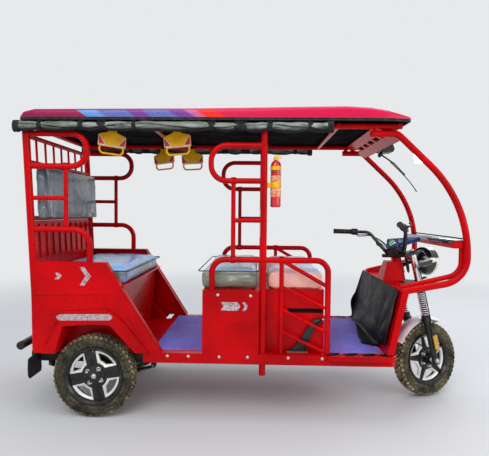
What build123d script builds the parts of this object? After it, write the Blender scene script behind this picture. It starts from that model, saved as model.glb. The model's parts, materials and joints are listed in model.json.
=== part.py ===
from build123d import *
import math
import os

# Electric rickshaw: one front wheel, two rear wheels, open passenger body with a tubular cabin.
# Millimetres. X runs forward, Y to the left, Z up. Stations along X are measured from the rear
# axle while the pieces are made, and the whole vehicle is then moved so that the origin is the
# middle of its footprint on the ground.

# ---- driving dimensions -------------------------------------------------------------------
TYRE_R = 244.0
TYRE_W = 96.0
RIM_R = 166.0
REAR_WHEEL_Y = 412.0
AXLE_Z = TYRE_R

RAKE = 13.0
STEER_FOOT_X = 2089.0
FORK_OFFSET = 55.0
LEG_Y = 92.0
REST_TURN = 25.5

BODY_HALF = 490.0
SHEET = 8.0
TUBE_Y = 457.0
POST_R = 21.0
MID_POST_R = 19.0
LOOP_R = 17.0
ROD_R = 13.0

RAIL_TOP = 345.0
RAIL_BOTTOM = 285.0
FLOOR_Z = 403.0
PAN = 6.0
SILL_Y = (430.0, 484.0)
SILL_FRONT = 1740.0
SILL_REAR = 300.0

WAIST_Z = 918.0
SEAT_BASE_Z = 783.0
SEAT_TOP_Z = 882.0
BOX_TOP_Z = 765.0
BOX_REAR_X = 639.0
BOX_STEP_X = 962.0
BOX_FRONT_X = 1340.0
BOX_FRONT_Y = 400.0
MID_POST_X = 983.0

ROOF_UNDER_Z = 1721.0
ROOF_RIM_Z = 1745.0
RAIL_Z = ROOF_UNDER_Z - 16.0
RAIL_Y = 430.0

SCREEN_Y = 432.0
SCREEN_INNER_Y = 396.0
SCREEN_LEAN = 43.4
SCREEN_CORNER = (2141.0, 1280.0)
SCREEN_BEND = 714.0
SCREEN_TOP_Z = 1663.0
SHIELD_TOP_Z = 775.0

BEARING_GAP = 0.05


# ---- helpers ------------------------------------------------------------------------------
def tube(points, radius, bends=None):
    """Round bar along straight runs joined by tangent bends."""
    path = FilletPolyline(*points, radius=bends) if bends else Line(points[0], points[1])
    return sweep(Plane(origin=path @ 0, z_dir=path % 0) * Circle(radius), path=path)


def block(x, y, z):
    """Box between two values on each axis."""
    size = [high - low for low, high in (x, y, z)]
    middle = [(low + high) / 2 for low, high in (x, y, z)]
    return Pos(*middle) * Box(*size)


def side_slab(outline, y):
    """Plate with an outline of (x, z) points, between two values of Y."""
    face = make_face(Polyline(*outline, close=True))
    return extrude(Plane.XZ.offset(-y[1]) * face, amount=y[1] - y[0])


def plan_slab(outline, z):
    """Plate with an outline of (x, y) points, between two heights."""
    face = make_face(Polyline(*outline, close=True))
    return extrude(Plane.XY.offset(z[0]) * face, amount=z[1] - z[0])


def both_sides(low, high, side):
    """The range low to high of Y on the left (side 1) or right (side -1)."""
    return (low, high) if side > 0 else (-high, -low)


def rear_x(z):
    """Station of the leaning rear corner posts at a height."""
    knee = 700.0
    if z < knee:
        return -334.0 - 4.0 * (z - 390.0) / (knee - 390.0)
    return -338.0 - 50.0 * (z - knee) / 990.0


def cut(piece, *others):
    """The piece coped to fit against others."""
    for other in others:
        piece = piece - other
    return piece


# ---- chassis and floor --------------------------------------------------------------------
def chassis():
    """Ladder frame of two box rails, cross members and the tow lug."""
    frame = Part()
    for side in (1, -1):
        frame += block((-436, 1690), both_sides(270, 310, side), (RAIL_BOTTOM, RAIL_TOP))
    for x in (-416, 560, 1150, 1640):
        frame += block((x, x + 40), (-272, 272), (RAIL_BOTTOM + 8, RAIL_TOP - 8))
    lug = block((-462, -414), (-6, 6), (300, 330))
    lug -= Pos(-452, 0, 315) * Rot(90, 0, 0) * Cylinder(6.5, 40)
    return frame + lug


def floor_frame():
    """Sill ring, joists and the floor sheet welded on them."""
    low, high = SILL_Y
    corner = 22.0
    plan = [(SILL_REAR, -high), (SILL_FRONT - corner, -high), (SILL_FRONT, -high + corner)]
    plan += [(x, -y) for x, y in reversed(plan)]
    ring = plan_slab(plan, (RAIL_TOP, FLOOR_Z))
    ring -= block((SILL_REAR + 40, 1690), (-low, low), (RAIL_TOP - 5, FLOOR_Z - PAN))
    rear = block((-330, -285), (-345, 345), (RAIL_TOP, 390))
    rear += block((-290, SILL_REAR + 5), (-345, 345), (FLOOR_Z - PAN, FLOOR_Z))
    for side in (1, -1):
        rear += block((-330, SILL_REAR + 5), both_sides(270, 310, side), (RAIL_TOP, FLOOR_Z - 3))
    for x in (620, 960, 1325):
        ring += block((x, x + 40), (-low - 5, low + 5), (RAIL_TOP, FLOOR_Z - 3))
    return ring + rear


def floor_mats():
    """Two rubber mats, one for passengers and one for the driver."""
    rear = block((345, 636), (-428, 428), (FLOOR_Z, FLOOR_Z + 3))
    front = block((1343, 1684), (-428, 428), (FLOOR_Z, FLOOR_Z + 3))
    return rear + front


# ---- rear body ----------------------------------------------------------------------------
ARCH = [(-208, 390), (-161, 549), (-4, 563), (111, 559), (256, FLOOR_Z)]
ARCH_OUT = [(-214, 390), (-166, 555), (-4, 569), (114, 565), (263, FLOOR_Z)]
FLARE = [(-285, 390), (-150, 627), (126, 637), (333, FLOOR_Z)]
SLOPE_TOP = (83.0, WAIST_Z)
SLOPE_FOOT = (408.0, FLOOR_Z)


def side_panel(side):
    """Painted side of the rear body with its flared arch, top flange and wheel tub."""
    outer = both_sides(BODY_HALF - SHEET, BODY_HALF, side)
    outline = [(rear_x(390), 390), *ARCH, SLOPE_FOOT, SLOPE_TOP, (rear_x(WAIST_Z), WAIST_Z)]
    panel = side_slab(outline, outer)
    flange = [(rear_x(WAIST_Z), WAIST_Z), SLOPE_TOP, SLOPE_FOOT, (400, FLOOR_Z), (78, 910)]
    flange.append((rear_x(910), 910))
    panel += side_slab(flange, both_sides(442, BODY_HALF, side))
    panel += side_slab([*ARCH, *reversed(FLARE)], both_sides(BODY_HALF - 1, BODY_HALF + 10, side))
    tub = side_slab(ARCH_OUT, both_sides(345, BODY_HALF - SHEET + 1, side))
    tub -= side_slab([(-208, 380), *ARCH[1:-1], (256, FLOOR_Z), (256, 380)],
                     both_sides(350, BODY_HALF, side))
    ledge = block((-286, -207), both_sides(345, BODY_HALF - 1, side), (390, 395))
    return panel + tub + ledge


def rear_panel():
    """Back wall with pressed ribs and the two screw holes of a number plate."""
    heights = (390, 700, 1150)
    outline = [(rear_x(z) - 4, z) for z in heights] + [(rear_x(z) + 4, z) for z in reversed(heights)]
    wall = side_slab(outline, (-435, 435))
    for n in range(9):
        y = (n - 4) * 90.0
        rib = [(rear_x(930) + 3, 930), (rear_x(1130) + 3, 1130), (rear_x(1130) + 12, 1130)]
        wall += side_slab([*rib, (rear_x(930) + 12, 930)], (y - 14, y + 14))
    for y in (-70, 70):
        wall -= Pos(-338, y, 560) * Rot(0, 90, 0) * Cylinder(3.5, 60)
    return wall


def rear_seat_box():
    """Seat board and the bulkhead under its front edge."""
    board = block((-330, 190), (-478, 478), (SEAT_BASE_Z - SHEET, SEAT_BASE_Z))
    board += block((150, 158), (-478, 478), (FLOOR_Z, SEAT_BASE_Z - SHEET + 1))
    for side in (1, -1):
        board -= side_slab([*ARCH_OUT, (263, 380), (-214, 380)], both_sides(344.9, 480, side))
    return board


def rear_cushion():
    """Bench cushion."""
    pad = block((-325, 200), (-436, 436), (SEAT_BASE_Z, SEAT_TOP_Z))
    return fillet(pad.edges().group_by(Axis.Z)[-1], 28)


def rear_backrest():
    """Upper back pad hung between the corner posts."""
    low, high = 1152, 1474
    outline = [(rear_x(low) + 15, low), (rear_x(high) + 15, high)]
    outline += [(rear_x(high) + 75, high), (rear_x(low) + 80, low)]
    return side_slab(outline, (-434, 434))


def rear_frame():
    """Corner posts, side loops, arm rests and the barred back above the pad."""
    frame = Part()
    for y in (-TUBE_Y, TUBE_Y):
        posts = [(rear_x(z), y, z) for z in (395, 700, RAIL_Z)]
        frame += tube(posts, POST_R, [3000])
        top, bottom, front = 1652, 1466, -33
        loop = [(rear_x(top), y, top), (front, y, top), (front, y, bottom), (rear_x(bottom), y, bottom)]
        frame += tube(loop, LOOP_R, [88, 88])
        frame += tube([(-155, y, 1466), (-155, y, 1103)], ROD_R)
        frame += tube([(rear_x(1283), y, 1283), (-155, y, 1283)], ROD_R)
        frame += tube([(rear_x(1103), y, 1103), (-17, y, 1103), (-17, y, WAIST_Z)], LOOP_R, [95])
    for z in (1640, 1490, 1165):
        frame += tube([(rear_x(z), -TUBE_Y, z), (rear_x(z), TUBE_Y, z)], 14)
    for n in range(7):
        y = (n - 3) * 114.0
        frame += tube([(rear_x(1490), y, 1490), (rear_x(1640), y, 1640)], 7)
    return frame


# ---- roof ---------------------------------------------------------------------------------
# station, half width, height of the shoulder
ROOF_STATIONS = [(-403, 478, 1755), (-385, 492, 1771), (-322, 503, 1786), (620, 505, 1792),
                 (1430, 503, 1806), (1573, 500, 1799), (1665, 494, 1785), (1730, 484, 1767), (1790, 466, 1751)]


def roof_section(x, half, top, bottom):
    """Closed cross-section of the roof at one station."""
    shoulder = min(26.0, (top - bottom) * 0.6)
    crown = top + 10.0
    inner = half - shoulder
    bend = shoulder * (1 - math.sqrt(0.5))
    edges = [
        Line((-half, bottom), (half, bottom)),
        Line((half, bottom), (half, top - shoulder)),
        ThreePointArc((half, top - shoulder), (half - bend, top - bend), (inner, top)),
        ThreePointArc((inner, top), (0, crown), (-inner, top)),
        ThreePointArc((-inner, top), (-half + bend, top - bend), (-half, top - shoulder)),
        Line((-half, top - shoulder), (-half, bottom)),
    ]
    return Plane.YZ.offset(x) * make_face(edges)


def roof_shell():
    """Moulded roof skin, open below."""
    wall = 7.0
    outer = loft([roof_section(x, half, top, ROOF_RIM_Z) for x, half, top in ROOF_STATIONS], ruled=True)
    inner = loft([roof_section(x, half - wall, top - wall, ROOF_RIM_Z - 20)
                  for x, half, top in ROOF_STATIONS[1:-1]], ruled=True)
    return outer - inner


def roof_plan(grow):
    """Outline of the roof's edge seen from above."""
    left = [(x, half + grow) for x, half, top in ROOF_STATIONS]
    return left + [(x, -y) for x, y in reversed(left)]


def roof_liner():
    """Ceiling board with the gutter moulding round its edge."""
    board = plan_slab(roof_plan(4.0), (ROOF_UNDER_Z, ROOF_RIM_Z))
    return board


def roof_frame():
    """Side rails and cross bars that carry the roof."""
    frame = Part()
    for y in (-RAIL_Y, RAIL_Y):
        frame += tube([(-389, y, RAIL_Z), (1760, y, RAIL_Z)], 16)
    for x in (rear_x(RAIL_Z) + 1, 330, MID_POST_X, 1400, 1745):
        frame += tube([(x, -RAIL_Y - 20, RAIL_Z), (x, RAIL_Y + 20, RAIL_Z)], 14)
    return frame


def curtain(side):
    """Rain curtain rolled up under the roof's edge."""
    roll = Plane.YZ.offset(-427) * Pos(side * 500, ROOF_UNDER_Z - 38.2) * Ellipse(21.8, 37.8)
    return extrude(roll, amount=1357 + 427)


# ---- middle of the cabin ------------------------------------------------------------------
def mid_frame(side):
    """Middle post with its side loop, arm rail and the barred guard beside the driver."""
    y = side * TUBE_Y
    x = MID_POST_X
    frame = tube([(x, y, 277), (x, y, RAIL_Z)], MID_POST_R)
    frame += tube([(x, y, 1590), (682, y, 1590), (682, y, 1389), (x, y, 1389)], 16, [88, 88])
    frame += tube([(810, y, 1389), (810, y, 940)], ROD_R)
    frame += tube([(810, y, 1165), (x, y, 1165)], ROD_R)
    arm = [(690, y, BOX_TOP_Z), (690, y, 940), (1353, y, 940), (1353, y, FLOOR_Z)]
    frame += tube(arm, LOOP_R, [75, 70])
    frame += tube([(1089, y, FLOOR_Z), (1089, y, 940)], ROD_R)
    bars = [((1092, 938), (1345, 795), 12), ((1092, 790), (1350, 664), 8)]
    bars += [((1092, 659), (1350, 527), 8), ((1092, 528), (1350, 408), 8)]
    for (x0, z0), (x1, z1), radius in bars:
        frame += tube([(x0, y, z0), (x1, y, z1)], radius)
    return frame


def centre_box():
    """Battery and driver's seat box, of panels 6 mm thick, open below."""
    wall = 6.0
    rear_half = BODY_HALF - 6
    box = block((BOX_REAR_X, BOX_STEP_X), (-rear_half, rear_half), (FLOOR_Z, BOX_TOP_Z))
    box += block((BOX_STEP_X - 1, BOX_FRONT_X), (-BOX_FRONT_Y, BOX_FRONT_Y), (FLOOR_Z, BOX_TOP_Z))
    top = BOX_TOP_Z - wall
    box -= block((BOX_REAR_X + wall, BOX_STEP_X - wall), (-rear_half + wall, rear_half - wall), (390, top))
    inner = BOX_FRONT_Y - wall
    box -= block((BOX_STEP_X - wall - 1, BOX_FRONT_X - wall), (-inner, inner), (390, top))
    return box


def battery_pack():
    """Four lead-acid batteries as one block."""
    return block((670, 940), (-420, 420), (FLOOR_Z, 640))


def centre_cushion():
    """Rearward-facing passengers' cushion on the battery box."""
    pad = block((604, 962), (-434, 434), (BOX_TOP_Z, 888))
    return fillet(pad.edges().group_by(Axis.Z)[-1], 30)


def driver_cushion():
    """Driver's cushion."""
    pad = block((1003, 1352), (-424, 424), (BOX_TOP_Z, 884))
    return fillet(pad.edges().group_by(Axis.Z)[-1], 30)


def mid_backrest():
    """Back pad between the middle posts."""
    return block((964, 1002), (-439, 439), (1000, 1270))


# ---- front of the cabin -------------------------------------------------------------------
def screen_line(z):
    """Station of the pillars' straight upper run at a height."""
    return SCREEN_CORNER[0] - (z - SCREEN_CORNER[1]) / math.tan(math.radians(SCREEN_LEAN))


def screen_frame():
    """Windscreen pillars that bend under to the leg shield, with a second pair inside."""
    frame = Part()
    for side in (1, -1):
        y = side * SCREEN_Y
        outer = [(1585, y, SCREEN_TOP_Z), (screen_line(SCREEN_TOP_Z), y, SCREEN_TOP_Z)]
        outer += [(SCREEN_CORNER[0], y, SCREEN_CORNER[1]), (2143, y, 835), (1779, y, 765)]
        frame += tube(outer, 19, [60, SCREEN_BEND, 155])
        frame += tube([(1610, y, SCREEN_TOP_Z), (1610, y, RAIL_Z)], 14)
        y = side * SCREEN_INNER_Y
        frame += tube([(2125, y, 1040), (2125, y, 867), (1779, y, 782)], 15, [90])
    return frame


def screen_header():
    """Slotted panel under the roof's nose."""
    plate = side_slab([(1606, 1703), (1752, 1628), (1755, 1635), (1609, 1710)], (-426, 426))
    for n in range(6):
        y = (n - 2.5) * 132.0
        plate -= block((1660, 1690), (y - 48, y + 48), (1600, 1720))
    return plate


def windscreen():
    """Glass between the pillars, curved below and flat above."""
    half_glass = 2.5
    first, last = math.radians(7.9), math.radians(90 - SCREEN_LEAN)
    reach = SCREEN_BEND * math.tan(last / 2)
    centre = (SCREEN_CORNER[0] - SCREEN_BEND, SCREEN_CORNER[1] - reach)
    top = (screen_line(1636), 1636)
    sheets = []
    for offset in (-half_glass, half_glass):
        radius = SCREEN_BEND + offset
        bend = [(centre[0] + radius * math.cos(a), centre[1] + radius * math.sin(a))
                for a in (first, (first + last) / 2, last)]
        sheets.append([*bend, (top[0] + offset * math.cos(last), top[1] + offset * math.sin(last))])
    inside, outside = sheets
    edges = [ThreePointArc(*inside[:3]), Line(inside[2], inside[3]), Line(inside[3], outside[3])]
    edges += [Line(outside[3], outside[2]), ThreePointArc(*reversed(outside[:3])), Line(outside[0], inside[0])]
    return extrude(Plane.XZ.offset(-424) * make_face(edges), amount=848)


def wiper_motor():
    """Wiper motor box hung over the top of the glass."""
    outline = [(1768, 1640), (1768, ROOF_UNDER_Z), (1784, ROOF_UNDER_Z), (1800, 1696), (1852, 1690)]
    return side_slab([*outline, (1868, 1650), (1860, 1630), (1792, 1626)], (60, 180))


def dash_panel():
    """Cross panel between the pillars."""
    return block((2066, 2140), (-426, 426), (1016, 1060))


def leg_shield():
    """Leaning pressed panel in front of the driver's legs, with a shelf behind the steering head."""
    low, high, wall = FLOOR_Z, SHIELD_TOP_Z, 6.0
    shield = side_slab([(1690, low), (1727, low), (1806, high), (1768, high)], (-478, 478))
    shield -= side_slab([(1697, low + wall), (1850, low + wall), (1850, high - wall), (1773, high - wall)],
                        (-472, 472))
    column = side_slab([(1694, low + 1), (1727, low + 1), (1806, high - 1), (1772, high - 1)], (-40, 40))
    return shield + column + block((1780, 1862), (-378, 378), (high - wall, high))


def leg_shield_cover():
    """Padded cover on the driver's side of the leg shield."""
    return side_slab([(1688.9, 428), (1695.2, 428), (1766.3, 767), (1760, 767)], (-440, 440))


def steering_cowl():
    """Steering head tube with the tapered cover on its driver's side."""
    base = Plane.XY.offset(SHIELD_TOP_Z) * Pos(1836, 0) * Rectangle(136, 150)
    top = Plane.XY.offset(897) * Pos(1838, 0) * Rectangle(70, 90)
    cowl = loft([base, top], ruled=True) + steer_axis * upright(0, 0, 787, 944, 27)
    return cowl - steer_axis * upright(0, 0, 700, 1000, STEM_R + BEARING_GAP)


# ---- underneath and rear ------------------------------------------------------------------
def rear_bumper():
    """Bumper tube on two brackets."""
    bumper = tube([(-440, -420, 413), (-440, 420, 413)], 24)
    for side in (1, -1):
        bumper += block((-436, -416), both_sides(275, 305, side), (RAIL_TOP, 408))
    return bumper


def mud_flaps():
    """Rubber flaps behind the rear wheels."""
    outline = [(-330, 378), (-330, 384), (-376, 354), (-376, 226), (-371, 226), (-371, 351)]
    return side_slab(outline, (315, 475)) + side_slab(outline, (-475, -315))


def rear_axle():
    """Axle tube with differential, motor, brake plates and stub shafts."""
    axle = Pos(0, 0, AXLE_Z) * Rot(90, 0, 0) * Cylinder(30, 684)
    axle += Pos(0, 0, AXLE_Z) * Sphere(86)
    axle += Pos(120, 60, AXLE_Z + 12) * Rot(90, 0, 0) * Cylinder(74, 240)
    axle += Pos(0, 0, AXLE_Z) * Rot(90, 0, 0) * Cylinder(14, 2 * (REAR_WHEEL_Y + 26))
    for side in (1, -1):
        axle += Pos(0, side * 343, AXLE_Z) * Rot(90, 0, 0) * Cylinder(94, 6)
    return axle


def leaf_springs():
    """Two slung leaf springs with their shackles."""
    springs = Part()
    for side in (1, -1):
        y = both_sides(268, 312, side)
        leaves = Part()
        for reach, top in ((330, 214), (240, 207.2), (150, 200.4)):
            rise = 52.0 * (reach / 330.0) ** 2
            upper = ThreePointArc((-reach, top + rise), (0, top), (reach, top + rise))
            lower = ThreePointArc((reach, top + rise - 7), (0, top - 7), (-reach, top + rise - 7))
            edges = [upper, Line(upper @ 1, lower @ 0), lower, Line(lower @ 1, upper @ 0)]
            leaves += extrude(Plane.XZ.offset(-y[1]) * make_face(edges), amount=y[1] - y[0])
        for x in (-318, 318):
            leaves += block((x - 12, x + 12), y, (256, RAIL_BOTTOM))
        springs += leaves
    return springs


def tail_lamps():
    """Pair of lamps on the back wall."""
    lamps = Part()
    for side in (1, -1):
        lamps += block((-368, -338), both_sides(330, 420, side), (640, 720))
    return lamps


def handbrake():
    """Parking brake lever on the floor beside the driver's seat box."""
    base = block((1127, 1242), (-428, -404), (FLOOR_Z, 436))
    return base + tube([(1185, -416, 425), (1312, -416, 588)], 10)


def fire_extinguisher():
    """Small extinguisher clipped to the right middle post."""
    x, y = 1050.0, -440.0
    bottle = Pos(x, y, 1360) * Cylinder(30, 240)
    bottle += Pos(x, y, 1480) * Sphere(29)
    bottle += Pos(x, y, 1515) * Cylinder(14, 30)
    clip = block((1001, 1030), (y - 22, y + 12), (1350, 1380))
    return bottle + clip


def grab_handles():
    """Four hanging grab handles: a plate with a hand loop below it on a strap."""
    handles = Part()
    for x, y in ((69, -370), (452, -370), (223, 370), (450, 370)):
        thick = (y - 9, y + 9)
        body = [(x - 72, 1677), (x - 50, 1584), (x - 42, 1540), (x + 42, 1540), (x + 50, 1584), (x + 72, 1677)]
        hold = [(x - 36, 1578), (x - 30, 1554), (x + 30, 1554), (x + 36, 1578)]
        handle = side_slab(body, thick) - side_slab(hold, (y - 12, y + 12))
        handles += handle + block((x - 15, x + 15), (y - 2, y + 2), (1672, ROOF_UNDER_Z))
    return handles


# ---- wheels -------------------------------------------------------------------------------
def tyre():
    """Tyre about the Y axis at the origin."""
    half = TYRE_W / 2
    bead, shoulder = half - 18, half - 14
    edges = [
        Line((RIM_R, -bead), (RIM_R, bead)),
        ThreePointArc((RIM_R, bead), (203, half), (231, shoulder)),
        ThreePointArc((231, shoulder), (TYRE_R, 0), (231, -shoulder)),
        ThreePointArc((231, -shoulder), (203, -half), (RIM_R, -bead)),
    ]
    return revolve(make_face(edges), Axis.Y)


def rim(windows, first, hub, bore, drum):
    """Pressed wheel about Y at the origin, its open face towards +Y."""
    section = [(RIM_R, -40), (172, -40), (172, -36), (RIM_R, -32), (RIM_R, 32), (172, 36), (172, 42)]
    section += [(164, 42), (152, 30), (150, -36), (156, -40)]
    wheel = revolve(make_face(Polyline(*section, close=True)), Axis.Y)
    wheel += Pos(0, 12, 0) * Rot(90, 0, 0) * Cylinder(152, 14)
    wheel += Pos(0, (hub[0] + hub[1]) / 2, 0) * Rot(90, 0, 0) * Cylinder(38, hub[1] - hub[0])
    if drum:
        wheel += Pos(0, -34, 0) * Rot(90, 0, 0) * Cylinder(88, 52)
    inner, outer = math.radians(19.5), math.radians(30.5)
    r0, r1 = 78.0, 145.0
    opening = make_face([
        Line((r0 * math.cos(inner), -r0 * math.sin(inner)), (r1 * math.cos(outer), -r1 * math.sin(outer))),
        ThreePointArc((r1 * math.cos(outer), -r1 * math.sin(outer)), (r1, 0),
                      (r1 * math.cos(outer), r1 * math.sin(outer))),
        Line((r1 * math.cos(outer), r1 * math.sin(outer)), (r0 * math.cos(inner), r0 * math.sin(inner))),
        Line((r0 * math.cos(inner), r0 * math.sin(inner)), (r0 * math.cos(inner), -r0 * math.sin(inner))),
    ])
    cutter = extrude(Plane.XZ.offset(-30) * opening, amount=27 if drum else 40)
    for n in range(windows):
        wheel -= Rot(0, -(first + n * 360.0 / windows), 0) * cutter
    wheel -= Pos(0, (bore[0] + bore[1]) / 2, 0) * Rot(90, 0, 0) * Cylinder(bore[2], bore[1] - bore[0])
    return wheel


# ---- steering -----------------------------------------------------------------------------
# The steering frame has its origin where the steering axis meets the ground: its X points
# forward, square to the axis, its Y to the left, and its Z up along the axis.
lean = math.radians(RAKE)
steer_axis = Plane(origin=(STEER_FOOT_X, 0, 0), x_dir=(math.cos(lean), 0, math.sin(lean)),
                   z_dir=(-math.sin(lean), 0, math.cos(lean))).location
turned = steer_axis * Rot(0, 0, REST_TURN)

# The wheel's height along the axis is where the turned tyre just meets the ground.
trial = turned * Pos(FORK_OFFSET, 0, TYRE_R) * tyre()
WHEEL_S = TYRE_R - trial.bounding_box().min.Z / math.cos(lean)
STEM_R = 15.0
STANCHION_R = 17.0
CROWN_S = 752.0
TOP_S = 950.0
CLAMP_S = 972.0
BAR_S = 996.0
POD_S = 1014.0
LAMP_AT = (217.0, 867.0)
LAMP_NOD = 18.0
SLIDER_TOP = 530.0
SPRING_TOP = 705.0
GRIP_END = (-213.0, 330.0, 1189.0)
BAR_KNEE = (-36.0, 177.0, 1134.0)
BAR_FOOT = (-8.0, 94.0, BAR_S)


def upright(x, y, low, high, radius):
    """Cylinder along the steering axis in the steering frame."""
    return Pos(x, y, (low + high) / 2) * Cylinder(radius, high - low)


def fork_lowers():
    """Sliding fork legs with the axle between their feet."""
    legs = Pos(FORK_OFFSET, 0, WHEEL_S) * Rot(90, 0, 0) * Cylinder(10, 2 * LEG_Y + 44)
    for y in (-LEG_Y, LEG_Y):
        legs += upright(FORK_OFFSET, y, WHEEL_S - 26, SLIDER_TOP, 17)
        legs += upright(FORK_OFFSET, y, SLIDER_TOP - 30, SLIDER_TOP + 12, 29)
    return legs


def fork_springs():
    """Outer springs on the fork legs, as sleeves."""
    springs = Part()
    for y in (-LEG_Y, LEG_Y):
        sleeve = upright(FORK_OFFSET, y, SLIDER_TOP + 12, SPRING_TOP, 27)
        springs += sleeve - upright(FORK_OFFSET, y, SLIDER_TOP, SPRING_TOP + 5, STANCHION_R)
    return springs


def fork_crown():
    """Upper fork tubes, both crowns, the steering stem and the bracket under the lamp."""
    crown = upright(0, 0, CROWN_S, CLAMP_S, STEM_R)
    for y in (-LEG_Y, LEG_Y):
        crown += upright(FORK_OFFSET, y, SLIDER_TOP + 12, CLAMP_S + 4, STANCHION_R)
        crown += upright(FORK_OFFSET, y, SPRING_TOP, SPRING_TOP + 50, 24)
    crown += block((-24, 78), (-112, 112), (CROWN_S, CROWN_S + 20))
    crown += block((-24, 78), (-112, 112), (TOP_S, CLAMP_S))
    return crown + block((70, 188), (-34, -10), (CROWN_S + 4, CROWN_S + 14))


def handlebar():
    """High swept-back bar in its clamp."""
    left = [GRIP_END, BAR_KNEE, BAR_FOOT]
    points = [(f, -y, s) for f, y, s in left] + left[::-1]
    bar = tube(points, 11, [60, 45, 45, 60])
    return bar + block((-24, 30), (-46, 46), (CLAMP_S, POD_S))


def along_grip(distance, side):
    """Point on a grip's line, measured inwards from the bar's end."""
    end, inner = Vector(*GRIP_END), Vector(*BAR_KNEE)
    point = end + (inner - end).normalized() * distance
    return Vector(point.X, side * point.Y, point.Z)


def hand_controls():
    """Grips with switch pods and brake levers at both ends of the bar."""
    sets = Part()
    for side in (1, -1):
        ahead = Vector(0.64, side * 0.765, 0.0)
        grip = tube([along_grip(-4, side), along_grip(122, side)], 17)
        grip += tube([along_grip(121, side), along_grip(163, side)], 23)
        pivot = along_grip(142, side)
        lever = [pivot + ahead * 14, pivot + ahead * 50, along_grip(16, side) + ahead * 54]
        grip += tube(lever, 5, [14])
        sets += grip
    return sets


def instrument_pod():
    """Wedge-shaped instrument housing on the handlebar clamp."""
    profile = [(-24, POD_S), (6, 1071), (172, 1044), (184, 1032), (170, POD_S)]
    return side_slab(profile, (-58, 58))


def headlight():
    """Round lamp bowl on two ears from the fork."""
    edges = [
        Line((-60, 0), (48, 0)), Line((48, 0), (48, 88)), Line((48, 88), (38, 93)), Line((38, 93), (20, 93)),
        ThreePointArc((20, 93), (-36, 66), (-60, 22)), Line((-60, 22), (-60, 0)),
    ]
    f, s = LAMP_AT
    lamp = Pos(f, 0, s) * Rot(0, LAMP_NOD, 0) * revolve(make_face(edges), Axis.X)
    for side in (1, -1):
        lamp += block((68, 222), both_sides(82, 91, side), (s - 14, s + 14))
    return lamp


def headlight_lens():
    """Lens in the front of the lamp."""
    f, s = LAMP_AT
    return Pos(f, 0, s) * Rot(0, LAMP_NOD, 0) * Pos(51, 0, 0) * Rot(0, 90, 0) * Cylinder(84, 6)


def front_mudguard():
    """Mudguard round the top and back of the front wheel, on two lugs."""
    section = [(262, -56), (280, -56), (280, 56), (262, 56), (262, 53), (276, 53), (276, -53), (262, -53)]
    guard = revolve(make_face(Polyline(*section, close=True)), Axis.Y, 99)
    guard = Pos(FORK_OFFSET, 0, WHEEL_S) * Rot(0, -140, 0) * guard
    for side in (1, -1):
        guard += block((42, 68), both_sides(54, 78, side), (WHEEL_S + 262, WHEEL_S + 276))
    return guard


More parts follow.
